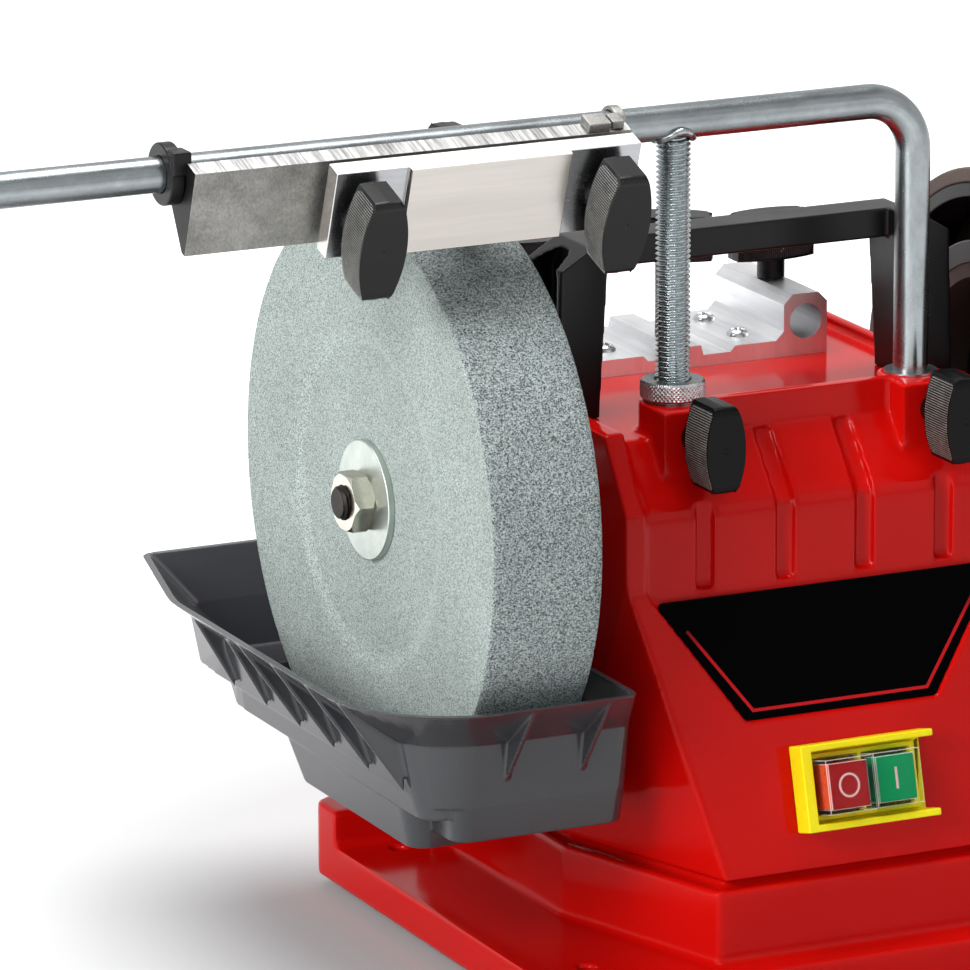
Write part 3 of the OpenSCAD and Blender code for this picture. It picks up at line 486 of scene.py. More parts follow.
def metals():
    """Each with its tone, spread of tone, roughness, stretch and scale of the tool lines, and relief."""
    even = (1, 1, 1)
    along_x = (0.05, 1, 1)
    return {
        "zinc": metal("zinc_plate", (0.56, 0.57, 0.58), 0.16, (0.22, 0.34), even, 260.0, 0.1),
        # A darker copy of the zinc for the rod: painted shade, for the darker surroundings it reflects.
        "zinc_rod": metal("zinc_rod", (0.28, 0.305, 0.315), 0.16, (0.22, 0.32), (0.15, 1, 0.15), 420.0, 0.1),
        "zinc_thread": metal("zinc_thread", (0.4, 0.44, 0.45), 0.2, (0.2, 0.3), even, 420.0, 0.12),
        "weld": metal("weld_bead", (0.34, 0.36, 0.37), 0.3, (0.25, 0.38), even, 320.0, 0.2),
        "washer": metal("washer_zinc", (0.52, 0.57, 0.53), 0.1, (0.3, 0.42), (1, 0.3, 0.3), 300.0, 0.12),
        "nut": metal("nut_steel", (0.6, 0.57, 0.49), 0.12, (0.16, 0.28), even, 240.0, 0.06),
        "dark_steel": metal("dark_steel", (0.03, 0.026, 0.022), 0.3, (0.4, 0.55), even, 300.0, 0.15),
        "steel": metal("turned_steel", (0.5, 0.51, 0.52), 0.15, (0.24, 0.36), (1, 0.2, 0.2), 300.0, 0.12),
        "milled": metal("milled_plate", (0.28, 0.275, 0.26), 0.2, (0.4, 0.54), (1, 1, 0.5), 1400.0, 0.35,
                        stain=0.3),
        "milled_edge": metal("milled_edge", (0.42, 0.415, 0.41), 0.6, (0.32, 0.46), (1, 0.04, 0.04),
                             1100.0, 0.5),
        "polished": metal("polished_bar", (0.66, 0.62, 0.58), 0.05, (0.16, 0.24), along_x, 240.0, 0.04),
        "polished_edge": metal("polished_edge", (0.95, 0.95, 0.94), 0.03, (0.3, 0.42), (1, 0.1, 0.1),
                               500.0, 0.03),
        "pocket": metal("pocket_floor", (0.5, 0.51, 0.53), 0.08, (0.2, 0.3), along_x, 240.0, 0.03),
        "anodised": metal("anodised", (0.74, 0.745, 0.76), 0.08, (0.36, 0.5), (1, 0.04, 1), 300.0, 0.1),
        # The end faces' tone has a faint red tint: a painted reflection of the red housing.
        "anodised_end_red_reflection": metal("anodised_end_red_reflection", (0.92, 0.9, 0.9), 0.05, (0.4, 0.55), (1, 1, 0.1), 400.0, 0.08),
        "laminations": metal("laminations", (0.16, 0.165, 0.17), 0.3, (0.4, 0.55), (1, 0.01, 0.01),
                             900.0, 0.4),
    }


def stones():
    """Each with the scale of its grit, its three tones and relief."""
    return {
        # ring sets the strength of the painted highlight on the face's recess slope.
        "stone_face": stone_finish("stone_face", 3200.0, srgb(210, 219, 214), srgb(170, 180, 176),
                                   srgb(104, 116, 113), 0.3, ring=0.12),
        "stone_tyre": stone_finish("stone_tyre", 2900.0, srgb(222, 231, 229), srgb(168, 178, 177),
                                   srgb(54, 63, 63), 0.5),
    }


def make_finishes():
    for group in (plastics(), rubber_and_leather(), metals(), stones()):
        FINISH.update(group)


# Mesh helpers

def mesh_of(name, points, faces, kinds=None):
    """A mesh from points in millimetres; kinds gives each face the number of its finish."""
    mesh = bpy.data.meshes.new(name)
    mesh.from_pydata([tuple(Vector(p) * MM) for p in points], [], faces)
    if kinds:
        mesh.polygons.foreach_set("material_index", kinds)
    mesh.validate()
    mesh.update()
    return mesh


def joined(*parts):
    """One list of points, faces and finish numbers from parts of (points, faces, finish number)."""
    points, faces, kinds = [], [], []
    for more, quads, kind in parts:
        base = len(points)
        points += list(more)
        faces += [tuple(base + i for i in quad) for quad in quads]
        kinds += [kind] * len(quads)
    return points, faces, kinds


def sorted_faces(mesh, number):
    """Gives each face the finish number that the function works out from its centre and normal."""
    mesh.polygons.foreach_set("material_index", [number(f.center / MM, f.normal) for f in mesh.polygons])
    return mesh


def smooth_sharp(mesh, degrees):
    """Smooth shading, with the edges over an angle kept sharp."""
    mesh.polygons.foreach_set("use_smooth", [True] * len(mesh.polygons))
    mesh.set_sharp_from_angle(angle=math.radians(degrees))


def piece(name, mesh, body, slot, finishes, *nodes):
    """An object of the scene that rides on a body and stands for the given nodes."""
    for finish in finishes if isinstance(finishes, (list, tuple)) else [finishes]:
        mesh.materials.append(FINISH[finish])
    made = bpy.data.objects.new(name, mesh)
    bpy.context.scene.collection.objects.link(made)
    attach(made, body)
    if nodes:
        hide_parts(*nodes)


def rounded_piece(name, source, body, slot, finishes, number=None, **rounding):
    """A node with its edges rounded, as a piece; number sorts its faces into the finishes."""
    mesh = bevelled(name, source, **rounding)
    if number:
        sorted_faces(mesh, number)
    piece(name, mesh, body, slot, finishes, source)


def ring_faces(rows, count, closed=True):
    """Quads between consecutive rows of count points each."""
    faces = []
    span = count if closed else count - 1
    for r in range(rows - 1):
        for i in range(span):
            j = (i + 1) % count
            faces.append((r * count + i, r * count + j, (r + 1) * count + j, (r + 1) * count + i))
    return faces


def closed_rings(rows, count):
    """Quads between consecutive closed rows, and from the last row back to the first."""
    last = (rows - 1) * count
    back = [(last + i, last + (i + 1) % count, (i + 1) % count, i) for i in range(count)]
    return ring_faces(rows, count) + back


def lathe(profile, steps, place, closed=True):
    """Points and faces of a profile of (along, radius), closed or open, turned about an axis."""
    points = []
    faces = []
    count = len(profile)
    span = count if closed else count - 1
    for s in range(steps):
        angle = 2 * math.pi * s / steps
        points += [place(along, r * math.cos(angle), r * math.sin(angle)) for along, r in profile]
        t = (s + 1) % steps
        for i in range(span):
            j = (i + 1) % count
            faces.append((s * count + i, t * count + i, t * count + j, s * count + j))
    return points, faces


def upright(along, a, b):
    """A point at a length along Z and two lengths across it."""
    return Vector((a, b, along))


def along_spindle(along, a, b):
    """A point at a length along the spindle and two lengths across it."""
    return (along, a, SPINDLE_Z + b)


def from_spindle(place):
    """The distance of a place from the spindle's axis."""
    return math.hypot(place.y, place.z - SPINDLE_Z)


def recalculated(mesh):
    """The mesh with all its faces turned outwards."""
    work = bmesh.new()
    work.from_mesh(mesh)
    bmesh.ops.recalc_face_normals(work, faces=work.faces)
    work.to_mesh(mesh)
    work.free()
    return mesh


def copied(name, source):
    """A welded copy of a node's mesh, with its flat faces joined again."""
    work = bmesh.new()
    work.from_mesh(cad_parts[source].data)
    bmesh.ops.remove_doubles(work, verts=work.verts, dist=2e-6)
    bmesh.ops.dissolve_limit(work, angle_limit=math.radians(0.6), verts=work.verts, edges=work.edges)
    mesh = bpy.data.meshes.new(name)
    work.to_mesh(mesh)
    work.free()
    return mesh


def flat_kept(mesh, name):
    """Smooth shading that leaves the large flat faces flat."""
    smooth_sharp(mesh, 50)
    return evaluated(mesh, name, [("WEIGHTED_NORMAL", {"weight": 100, "keep_sharp": True})])


def edges_rounded(mesh, width, segments, angle):
    """The mesh with its edges rounded where they are sharper than an angle."""
    work = bmesh.new()
    work.from_mesh(mesh)
    limit = math.radians(angle)
    sharp = [e for e in work.edges if len(e.link_faces) == 2 and e.calc_face_angle() > limit]
    bmesh.ops.bevel(work, geom=sharp, offset=width * MM, offset_type="OFFSET", segments=segments,
                    profile=0.5, affect="EDGES", clamp_overlap=True)
    work.to_mesh(mesh)
    work.free()
    return mesh


def bevelled(name, source, width, segments=2, angle=28):
    """A copy of a node with its sharp edges rounded."""
    return flat_kept(edges_rounded(copied(name, source), width, segments, angle), name)


def block(name, low, high, width):
    """A box between two corners, with rounded edges."""
    points = [(x, y, z) for x in (low[0], high[0]) for y in (low[1], high[1]) for z in (low[2], high[2])]
    faces = [(0, 1, 3, 2), (4, 6, 7, 5), (0, 4, 5, 1), (2, 3, 7, 6), (0, 2, 6, 4), (1, 5, 7, 3)]
    mesh = recalculated(mesh_of(name, points, faces))
    return flat_kept(edges_rounded(mesh, width, segments=3, angle=30), name)


def evaluated(mesh, name, modifiers):
    """The mesh after a list of (kind, settings) modifiers."""
    holder = bpy.data.objects.new(name, mesh)
    bpy.context.scene.collection.objects.link(holder)
    for kind, settings in modifiers:
        modifier = holder.modifiers.new(kind, kind)
        for key, value in settings.items():
            setattr(modifier, key, value)
    graph = bpy.context.evaluated_depsgraph_get()
    made = bpy.data.meshes.new_from_object(holder.evaluated_get(graph))
    bpy.data.objects.remove(holder)
    made.name = name
    return made


def moulded(name, source, voxel, passes):
    """A copy of a node with soft moulded edges, by remeshing it finely and relaxing it."""
    steps = [("REMESH", {"mode": "VOXEL", "voxel_size": voxel * MM}),
             ("SMOOTH", {"factor": 0.5, "iterations": passes})]
    mesh = evaluated(copied(name, source), name, steps)
    smooth_sharp(mesh, 60)
    return mesh


# Frames of the slanted faces

def on_apron(u, v, w):
    """A point at lengths across, up and out of the apron from the foot of its label."""
    return LABEL_LOW + Vector((u, 0, 0)) + APRON_UP * v + APRON_OUT * w


def on_jig_face(u, v, w):
    """A point at lengths across, up and out of the jig's face from its lower edge."""
    return FACE_LOW + Vector((u, 0, 0)) + FACE_UP * v + FACE_OUT * w


# Housing, base, handle and tray

def body_shells():
    """Housing, base, handle and tray, with moulded edges."""
    for name, source, voxel, passes, body, slot, finish in (
            ("housing_shell", "housing", 1.0, 3, "machine", "red_plastic", "red"),
            ("base_shell", "base", 1.2, 3, "machine", "red_plastic", "red"),
            ("handle_grip", "handle", 0.6, 4, "machine", "black_plastic", "black"),
            ("tray_tub", "water_tray", 0.5, 1, "tray", "grey_plastic", "grey")):
        piece(name, moulded(name, source, voxel, passes), body, slot, finish, source)


# Wing knobs

def tri_wave(x):
    """A wave with straight sides that falls from 1 to 0 and rises again over each whole step of x."""
    return abs((x % 1.0) * 2 - 1)


def diamond(a, b, pitch_a, pitch_b):
    """Height from 0 to 1 of staggered points at two lengths along a surface."""
    u = a / pitch_a + b / pitch_b
    v = a / pitch_a - b / pitch_b
    return min(tri_wave(u), tri_wave(v))


def wing_arc(tall, wide, end_wide):
    """Radius of the barrel sides of a grip, and half of the angle that they span."""
    bulge = (wide - end_wide) / 2
    arc_r = (tall * tall / 4 + bulge * bulge) / (2 * bulge)
    return arc_r, math.asin(tall / 2 / arc_r)


def grip_body(tall, wide, end_wide, deep):
    """Points and faces of a grip from z 0 to deep: barrel sides, a parting step, rounded front ends."""
    front_r = 2.6
    arc_steps = 6
    flat_steps = 24
    seam = 0.1
    left_proud = 0.3
    right_proud = 0.12
    arc_r = wing_arc(tall, wide, end_wide)[0]
    flat = tall / 2 - front_r
    turns = [math.pi / 2 * k / arc_steps for k in range(arc_steps + 1)]
    low_end = [(-flat - front_r * math.cos(a), deep - front_r + front_r * math.sin(a), -math.cos(a))
               for a in turns]
    middle = [(flat * (2 * i / flat_steps - 1), deep, 0.0) for i in range(1, flat_steps)]
    high_end = [(-y, z, -lean) for y, z, lean in reversed(low_end)]
    stations = low_end + middle + high_end
    points = []
    for y, z, lean in stations:
        x = wide / 2 - arc_r + math.sqrt(arc_r * arc_r - y * y)
        points += [(-x, y, 0), (-x, y, z), (-seam, y + left_proud * lean, z),
                   (seam, y + right_proud * lean, z), (x, y, z), (x, y, 0)]
    faces = ring_faces(len(stations), 6)
    for base, y, lean in ((0, -tall / 2, -1), ((len(stations) - 1) * 6, tall / 2, 1)):
        first = len(points)
        points += [(-seam, y + left_proud * lean, 0), (seam, y + right_proud * lean, 0)]
        faces += [(base, base + 1, base + 2, first), (first, base + 2, base + 3, first + 1),
                  (first + 1, base + 3, base + 4, base + 5), (base, first, first + 1, base + 5)]
    mesh = recalculated(mesh_of("grip", points, faces))
    mesh = edges_rounded(mesh, width=0.25, segments=2, angle=60)
    return [v.co / MM for v in mesh.vertices], [tuple(f.vertices) for f in mesh.polygons]


def knurled_side(tall, wide, end_wide, deep, side):
    """Points and faces of the knurled field on one barrel side; its border sinks into the grip."""
    arc_r, half = wing_arc(tall, wide, end_wide)
    step = 0.21
    row_pitch = 0.85
    bead_pitch = 1.1
    relief = 0.5
    foot = 0.12
    under = 0.5
    border = 0.8
    corner = 2.2
    margin = 0.02
    rows = int(2 * half * arc_r / step)
    columns = int(deep / step)
    long_side = tall / 2 - border - corner
    short_side = deep / 2 - border - corner
    centre = Vector(((wide / 2 - arc_r) * side, 0, 0))
    points = []
    for i in range(rows + 1):
        length = arc_r * half * (2 * i / rows - 1)
        angle = length / arc_r
        out = Vector((math.cos(angle) * side, math.sin(angle), 0))
        row = length / row_pitch
        for j in range(columns + 1):
            z = deep * (margin + (1 - 2 * margin) * j / columns)
            past = Vector((max(0, abs(length) - long_side), max(0, abs(z - deep / 2) - short_side)))
            bead = tri_wave(z / bead_pitch + 0.5 * math.floor(row + 0.5))
            height = -under
            if past.length < corner:
                height = relief * tri_wave(row + 0.5) * (0.5 + 0.5 * bead) - foot
            points.append(centre + out * (arc_r + height) + Vector((0, 0, z)))
    return points, ring_faces(rows + 1, columns + 1, closed=False)


def collar(r, z0, z1, steps=48):
    """A short round neck with a small chamfer at its foot."""
    chamfer = 0.3
    core = 0.01
    profile = [(z0, core), (z0, r - chamfer), (z0 + chamfer, r), (z1, r), (z1, core)]
    return lathe(profile, steps, upright, closed=False)


def gate_mark(z):
    """A small moulding dot on a face at height z."""
    profile = [(z - 0.1, 1.15), (z + 0.13, 1.05), (z + 0.13, 0.75), (z - 0.05, 0.55), (z - 0.05, 0.01)]
    return lathe(profile, 24, upright, closed=False)


def wing_knob(name, source, turn, size, neck, stud, skin="black"):
    """A knob along the turn's +Z: size is tall, wide, end width and depth, neck is radius and height."""
    stud_r = 3.0
    deep = size[3]
    neck_r, neck_h = neck
    lift = Vector((0, 0, neck_h))
    grip, quads = grip_body(*size)
    parts = [([p + lift for p in grip], quads, 0)]
    for side in (1, -1):
        field, quads = knurled_side(*size, side)
        parts.append(([p + lift for p in field], quads, 1))
    parts.append((*gate_mark(neck_h + deep), 0))
    parts.append((*collar(neck_r, 0, neck_h + 0.5), 0))
    if stud:
        parts.append((*collar(stud_r, -stud, 0.2), 2))
    points, faces, kinds = joined(*parts)
    mesh = mesh_of(name, [turn @ p for p in points], faces, kinds)
    mesh = flat_kept(recalculated(mesh), name)
    piece(name, mesh, f"{source}_body", "black_plastic", [skin, "knurl", "zinc"], source)


def turn_about(axis, degrees):
    """A turn about one of the main axes."""
    return Matrix.Rotation(math.radians(degrees), 4, axis)


def knobs():
    """The wing knobs on the jig, the front bosses and the mount, and the lock behind the jig."""
    jig_size = (36.5, 16.5, 9.5, 15)
    front_size = (29.5, 14.5, 8, 17)
    mount_size = (30, 14.5, 8, 16)
    lock_size = (26, 13, 8, 11)
    front_seat = (-57.3, 192.5)
    mount_seat = (63.5, 212.8)
    centre_seat = (0, 53, 198.3)
    lock_seat = (-120, LEG_Y + 9.3, 286.5)
    pocket = 2
    gap = 0.1
    below_middle = 2.7
    knob_v = (FACE_TOP - FACE_LOW).length / 2 - below_middle
    knob_w = BAR_FACE_W - pocket + gap
    face_turn = Matrix((Vector((1, 0, 0)), FACE_UP, FACE_OUT)).transposed().to_4x4()
    for side, x in (("left", -171), ("right", -83)):
        turn = Matrix.Translation(on_jig_face(x, knob_v, knob_w)) @ face_turn
        wing_knob(f"jig_wing_{side}", f"jig_knob_{side}", turn, jig_size, (6, 4), 0, "black_grip")
    for side, x in (("left", -LEG_X), ("right", LEG_X)):
        turn = Matrix.Translation((x, *front_seat)) @ turn_about("X", 90)
        wing_knob(f"front_wing_{side}", f"front_knob_{side}", turn, front_size, (5.5, 6), 11, "black_deep")
        turn = Matrix.Translation((x, *mount_seat)) @ turn_about("Z", 90)
        wing_knob(f"mount_wing_{side}", f"mount_knob_{side}", turn, mount_size, (4.9, 7.5), 3.5)
    turn = Matrix.Translation(centre_seat) @ turn_about("Z", 60)
    wing_knob("centre_wing", "centre_knob", turn, mount_size, (4.9, 28), 12)
    turn = Matrix.Translation(lock_seat) @ turn_about("X", -90)
    wing_knob("lock_wing", "jig_lock_knob", turn, lock_size, (5, 4), 6.5)


# Grinding stone and spindle

def stone_section(edge):
    """The stone's section as (along, radius): a shallow recess on both faces, and a broken rim."""
    recess = 1.5
    bore = 6.05
    tyre_steps = 12
    rim = [(0, STONE_R - edge * 2), (0, STONE_R - edge), (edge * 0.3, STONE_R - edge * 0.3), (edge, STONE_R)]
    slope = [(recess, 51), (recess - 0.25, 54), (0.3, 58.5), (0, 61.5)]
    face = [(recess, bore), (recess, 30)] + slope + [(0, 80)] + rim
    outer = [(STONE_X + along, r) for along, r in face]
    span = STONE_IN_X - STONE_X - 2 * edge
    tyre = [(STONE_X + edge + span * i / tyre_steps, STONE_R) for i in range(1, tyre_steps)]
    mirror = [(STONE_X + STONE_IN_X - x, r) for x, r in reversed(outer)]
    return outer + tyre + mirror


def chipped(p):
    """A point of the stone, moved in where its tyre is worn and its edges are chipped."""
    zone = 2.5
    coarse = 0.55
    fine = 1.3
    fine_share = 0.6
    wear = 0.1
    edge_wear = 0.45
    axis = Vector((p.x, 0, SPINDLE_Z))
    if (p - axis).length <= STONE_R - zone:
        return p
    chip = max(0.0, noise.noise(p * coarse) + fine_share * noise.noise(p * fine))
    at_edge = max(0.0, 1 - min(p.x - STONE_X, STONE_IN_X - p.x) / zone)
    return axis + (p - axis) * (1 - (wear + edge_wear * at_edge) * chip / STONE_R)


def grinding_stone():
    """The stone, with one grit on its faces and a coarser one on its tyre."""
    tyre_in_r = STONE_R - 10

    def on_tyre(centre, normal):
        return int(abs(normal.x) < 0.5 and from_spindle(centre) > tyre_in_r)

    points, faces = lathe(stone_section(edge=0.9), steps=360, place=along_spindle)
    mesh = recalculated(mesh_of("stone_wheel", [chipped(Vector(p)) for p in points], faces))
    sorted_faces(mesh, on_tyre)
    smooth_sharp(mesh, 40)
    piece("stone_wheel", mesh, "spindle_set", "stone", ["stone_face", "stone_tyre"], "stone")


def threaded_tube(axis_place, along0, along1, r, depth, steps, rows_per_turn, chamfer):
    """Points and faces of a rod with a helical thread; its ends are closed and chamfered."""
    rows = max(4, int((along1 - along0) / THREAD_PITCH * rows_per_turn))
    points = []
    for row in range(rows + 1):
        along = along0 + (along1 - along0) * row / rows
        near_end = min(along - along0, along1 - along)
        limit = r - max(0.0, chamfer - near_end)
        for s in range(steps):
            turn = s / steps
            groove = depth * min(1.0, 1.25 * tri_wave(along / THREAD_PITCH - turn))
            radius = min(limit, r - groove)
            angle = 2 * math.pi * turn
            points.append(axis_place(along, radius * math.cos(angle), radius * math.sin(angle)))
    faces = ring_faces(rows + 1, steps)
    faces.append(tuple(reversed(range(steps))))
    faces.append(tuple(range(rows * steps, (rows + 1) * steps)))
    return points, faces


def spindle_parts():
    """The shaft with its threaded ends, and the nuts and washers on it."""
    radius = 6
    end_thread = 16
    chamfer = 0.1
    core = 0.01
    left, right = (corner.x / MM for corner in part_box("spindle"))
    first = left + end_thread
    last = right - end_thread

    def end_of(x0, x1):
        return threaded_tube(along_spindle, x0, x1, radius, depth=0.9, steps=48, rows_per_turn=10,
                             chamfer=1.0)

    shaft = lathe([(first - chamfer, core), (first - chamfer, radius - chamfer), (first, radius),
                   (last, radius), (last + chamfer, radius - chamfer), (last + chamfer, core)],
                  steps=64, place=along_spindle)
    points, faces, kinds = joined((*end_of(left, first), 1), (*shaft, 0), (*end_of(last, right), 1))
    mesh = recalculated(mesh_of("spindle_shaft", points, faces, kinds))
    smooth_sharp(mesh, 40)
    piece("spindle_shaft", mesh, "spindle_set", "bright_steel", ["steel", "dark_steel"], "spindle")
    for name, source in (("stone_nut_hex", "stone_nut"), ("wheel_nut_hex", "wheel_nut")):
        rounded_piece(name, source, "spindle_set", "zinc_steel", "nut", width=0.35, angle=20)
    for name, source in (("stone_washer_disc", "stone_washer"), ("wheel_washer_disc", "wheel_washer")):
        rounded_piece(name, source, "spindle_set", "zinc_steel", "washer", width=0.4, segments=3)


# Support rod, threaded leg and height nut

def thread_leg():
    """The threaded leg under the rod."""
    foot = 140
    top = 292.5

    def leg_place(along, a, b):
        return (-LEG_X + a, LEG_Y + b, along)

    points, faces = threaded_tube(leg_place, foot, top, ROD_R, depth=1.0, steps=40, rows_per_turn=9,
                                  chamfer=1.2)
    mesh = recalculated(mesh_of("thread_leg", points, faces))
    smooth_sharp(mesh, 50)
    piece("thread_leg", mesh, "support", "zinc_steel", "zinc_thread", "threaded_leg")


def weld_bead():
    """A lumpy ring where the leg meets the underside of the rod."""
    loops = 72
    around = 10
    reach = 6.4
    hug = 0.86
    lift = 0.3
    bead_r = 1.5
    ripple = 0.12
    ripples = 11
    lumps = 0.35
    flat = 0.9
    points = []
    for i in range(loops):
        turn = 2 * math.pi * i / loops
        side = reach * math.sin(turn)
        dip = math.sqrt(max(1.0, ROD_R ** 2 - (side * hug) ** 2))
        centre = Vector((-LEG_X + reach * math.cos(turn), LEG_Y + side, ROD_Z - dip + lift))
        out = Vector((math.cos(turn), math.sin(turn), 0))
        r = bead_r + ripple * math.sin(turn * ripples) + lumps * noise.noise(centre * 0.5)
        for k in range(around):
            a = 2 * math.pi * k / around
            points.append(centre + out * r * math.cos(a) + Vector((0, 0, r * flat * math.sin(a))))
    mesh = recalculated(mesh_of("weld_bead", points, closed_rings(loops, around)))
    smooth_sharp(mesh, 80)
    piece("weld_bead", mesh, "support", "zinc_steel", "weld")


def support_bar():
    """The bent rod."""
    # Its zinc is darker than the plate zinc: painted shade.
    rounded_piece("support_bar", "support_rod", "support", "zinc_steel", "zinc_rod", width=0.2)


def knurled_nut():
    """The height nut, with a diamond knurl, and a thin lip that meets the thread."""
    nut_r = 11.15
    bore_r = 6.4
    lip_r = 5.95
    chamfer = 0.7
    band = 22
    steps = 432
    teeth = 46
    tooth_high = 0.42
    tooth_wide = 2 * math.pi * nut_r / teeth
    tooth_long = 1.5
    low, high = (corner.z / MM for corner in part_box("height_nut"))
    rows = [(low, lip_r), (low, nut_r - chamfer)]
    rows += [(low + chamfer + (high - low - 2 * chamfer) * i / band, nut_r) for i in range(band + 1)]
    rows += [(high, nut_r - chamfer), (high, bore_r), (low, bore_r)]
    points = []
    for z, r in rows:
        for s in range(steps):
            angle = 2 * math.pi * s / steps
            radius = r
            if r == nut_r:
                radius -= tooth_high * (1 - diamond(angle * nut_r, z - low, tooth_wide, tooth_long))
            points.append((-LEG_X + radius * math.cos(angle), LEG_Y + radius * math.sin(angle), z))
    mesh = recalculated(mesh_of("knurled_nut", points, closed_rings(len(rows), steps)))
    smooth_sharp(mesh, 30)
    piece("knurled_nut", mesh, "height_nut_body", "zinc_steel", "zinc", "height_nut")


# Jig

def jig_parts():
    """The milled plate with its stops and its left end in painted shade, and the clamp bar with polished
    pockets and a bright top edge.
    """
    def plate_finish(centre, normal):
        if normal.dot(FACE_UP) > 0.9:
            return 1
        # The left end face, towards -X, takes the near-black painted shade.
        return 2 if normal.x < -0.9 else 0

    def bar_finish(centre, normal):
        if normal.dot(FACE_UP) > 0.9:
            return 1
        in_pocket = (centre - FACE_LOW).dot(FACE_OUT) < BAR_FACE_W - 1
        return 2 if normal.dot(FACE_OUT) > 0.9 and in_pocket else 0

    rounded_piece("jig_plate", "jig_profile", "jig", "aluminium", ["milled", "milled_edge", "jig_end_painted_shade"],
                  plate_finish, width=0.45)
    corner_low = (-231.8, -51.0, 298.0)
    corner_high = (-225.0, -42.5, 306.0)
    mesh = block("jig_corner", corner_low, corner_high, width=0.9)
    piece("jig_corner", mesh, "jig", "black_plastic", "black")
    rounded_piece("jig_stop_tabs", "jig_stops", "jig", "aluminium", "milled", width=0.4)
    rounded_piece("clamp_plate", "clamp_bar", "clamp", "aluminium", ["polished", "polished_edge", "pocket"],
                  bar_finish, width=0.35)
    for side, finish in (("left", "black"), ("right", "milled")):
        rounded_piece(f"jig_collar_{side}", f"jig_bush_{side}", "jig_carriage", "black_plastic", finish,
                      width=0.6, segments=3)


# Label and switch

def ribbon(path, width, thick, place):
    """A thin raised strip along a path of (u, v) points on the apron, with mitred corners."""
    points = []
    count = len(path)
    for i, p in enumerate(path):
        before = (Vector(path[i]) - Vector(path[i - 1])).normalized() if i else None
        after = (Vector(path[i + 1]) - Vector(p)).normalized() if i < count - 1 else None
        way = ((before or after) + (after or before)).normalized()
        side = Vector((-way.y, way.x))
        stretch = 1 / max(0.3, side.dot(Vector((-(after or before).y, (after or before).x))))
        for s, w in ((-1, 0), (1, 0), (1, thick), (-1, thick)):
            q = Vector(p) + side * (s * width / 2 * stretch)
            points.append(place(q.x, q.y, w))
    faces = ring_faces(count, 4)
    faces += [(3, 2, 1, 0), tuple((count - 1) * 4 + k for k in range(4))]
    return points, faces


def rounded_corners(corners, radius, steps=6):
    """Points of a polygon whose corners are arcs of one radius."""
    points = []
    for i, corner in enumerate(corners):
        here = Vector(corner)
        back = (Vector(corners[i - 1]) - here).normalized()
        on = (Vector(corners[(i + 1) % len(corners)]) - here).normalized()
        half = math.acos(back.dot(on)) / 2
        centre = here + (back + on).normalized() * (radius / math.sin(half))
        start = here + back * (radius / math.tan(half)) - centre
        end = here + on * (radius / math.tan(half)) - centre
        sweep = start.angle_signed(end)
        for k in range(steps + 1):
            angle = -sweep * k / steps
            points.append(centre + Vector((start.x * math.cos(angle) - start.y * math.sin(angle),
                                           start.x * math.sin(angle) + start.y * math.cos(angle))))
    return points


def label_parts():
    """A black field with rounded corners, and a thin line along its lower edges."""
    low_half = 36.5
    top_half = 66.2
    tall = 43.6
    inset = 0.3
    middle_v = 22
    face_w = 1.2
    corners = [(-low_half + inset, inset), (low_half - inset, inset), (top_half - inset, tall - inset),
               (inset - top_half, tall - inset)]
    points = []
    layers = ((1.0, 0.0), (1.0, 1.0), (0.996, face_w))
    for shrink, w in layers:
        points += [on_apron(q.x * shrink, middle_v + (q.y - middle_v) * shrink, w)
                   for q in rounded_corners(corners, radius=2.2)]
    count = len(points) // len(layers)
    faces = ring_faces(len(layers), count)
    faces += [tuple(reversed(range(count))), tuple(range(len(points) - count, len(points)))]
    mesh = flat_kept(recalculated(mesh_of("label_plate", points, faces)), "label_plate")
    piece("label_plate", mesh, "machine", "black_label", "label", "label_panel")

    line_low = 3.6
    line_top = 33
    slope = (top_half - low_half) / tall
    low_u = low_half - line_low * 0.9
    top_u = low_half + slope * line_top - line_low * 1.2
    path = [(-top_u, line_top), (-low_u, line_low), (low_u, line_low), (top_u, line_top)]
    points, faces = ribbon(path, width=1.1, thick=0.18, place=lambda u, v, w: on_apron(u, v, face_w + w))
    mesh = recalculated(mesh_of("label_pinstripe", points, faces))
    piece("label_pinstripe", mesh, "machine", "red_plastic", "pinstripe")


def scaled_in_place(mesh, share):
    """Scales a mesh about the middle of its points."""
    middle = sum((v.co for v in mesh.vertices), Vector()) / len(mesh.vertices)
    mesh.transform(Matrix.Translation(middle) @ Matrix.Scale(share, 4) @ Matrix.Translation(-middle))


def key_and_cover(word, body):
    """A coloured key under its clear cap; the keys stand clear of the caps' inner walls."""
    key_fit = 0.975

    # A cap's rounded faces take the paler film of a painted highlight.
    def round_part(centre, normal):
        return int(max(abs(normal.x), abs(normal.dot(APRON_UP)), abs(normal.dot(APRON_OUT))) < 0.97)

    mesh = bevelled(f"{word}_key", f"button_{word}", width=0.5)
    scaled_in_place(mesh, key_fit)
    finishes = [f"button_{word}"]
    # The red key's faces towards -X take a paler orange: painted light.
    if word == "red":
        sorted_faces(mesh, lambda centre, normal: int(normal.x < -0.5))
        finishes.append("button_painted_glow")
    piece(f"{word}_key", mesh, body, f"button_{word}", finishes, f"button_{word}")
    rounded_piece(f"{word}_cover", f"cap_{word}", body, "clear_cap", ["clear", "clear_edge_highlight"], round_part,
                  width=0.3)


def key_sign(word, body, sign, width, middle):
    """A thin raised sign about a place on the apron, which is the middle of a key's top."""
    u, v, w = middle
    points, faces = ribbon(sign, width, thick=0.12, place=lambda a, b, up: on_apron(u + a, v + b, w + up))
    mesh = recalculated(mesh_of(f"{word}_sign", points, faces))
    piece(f"{word}_sign", mesh, body, "clear_cap", "mark")


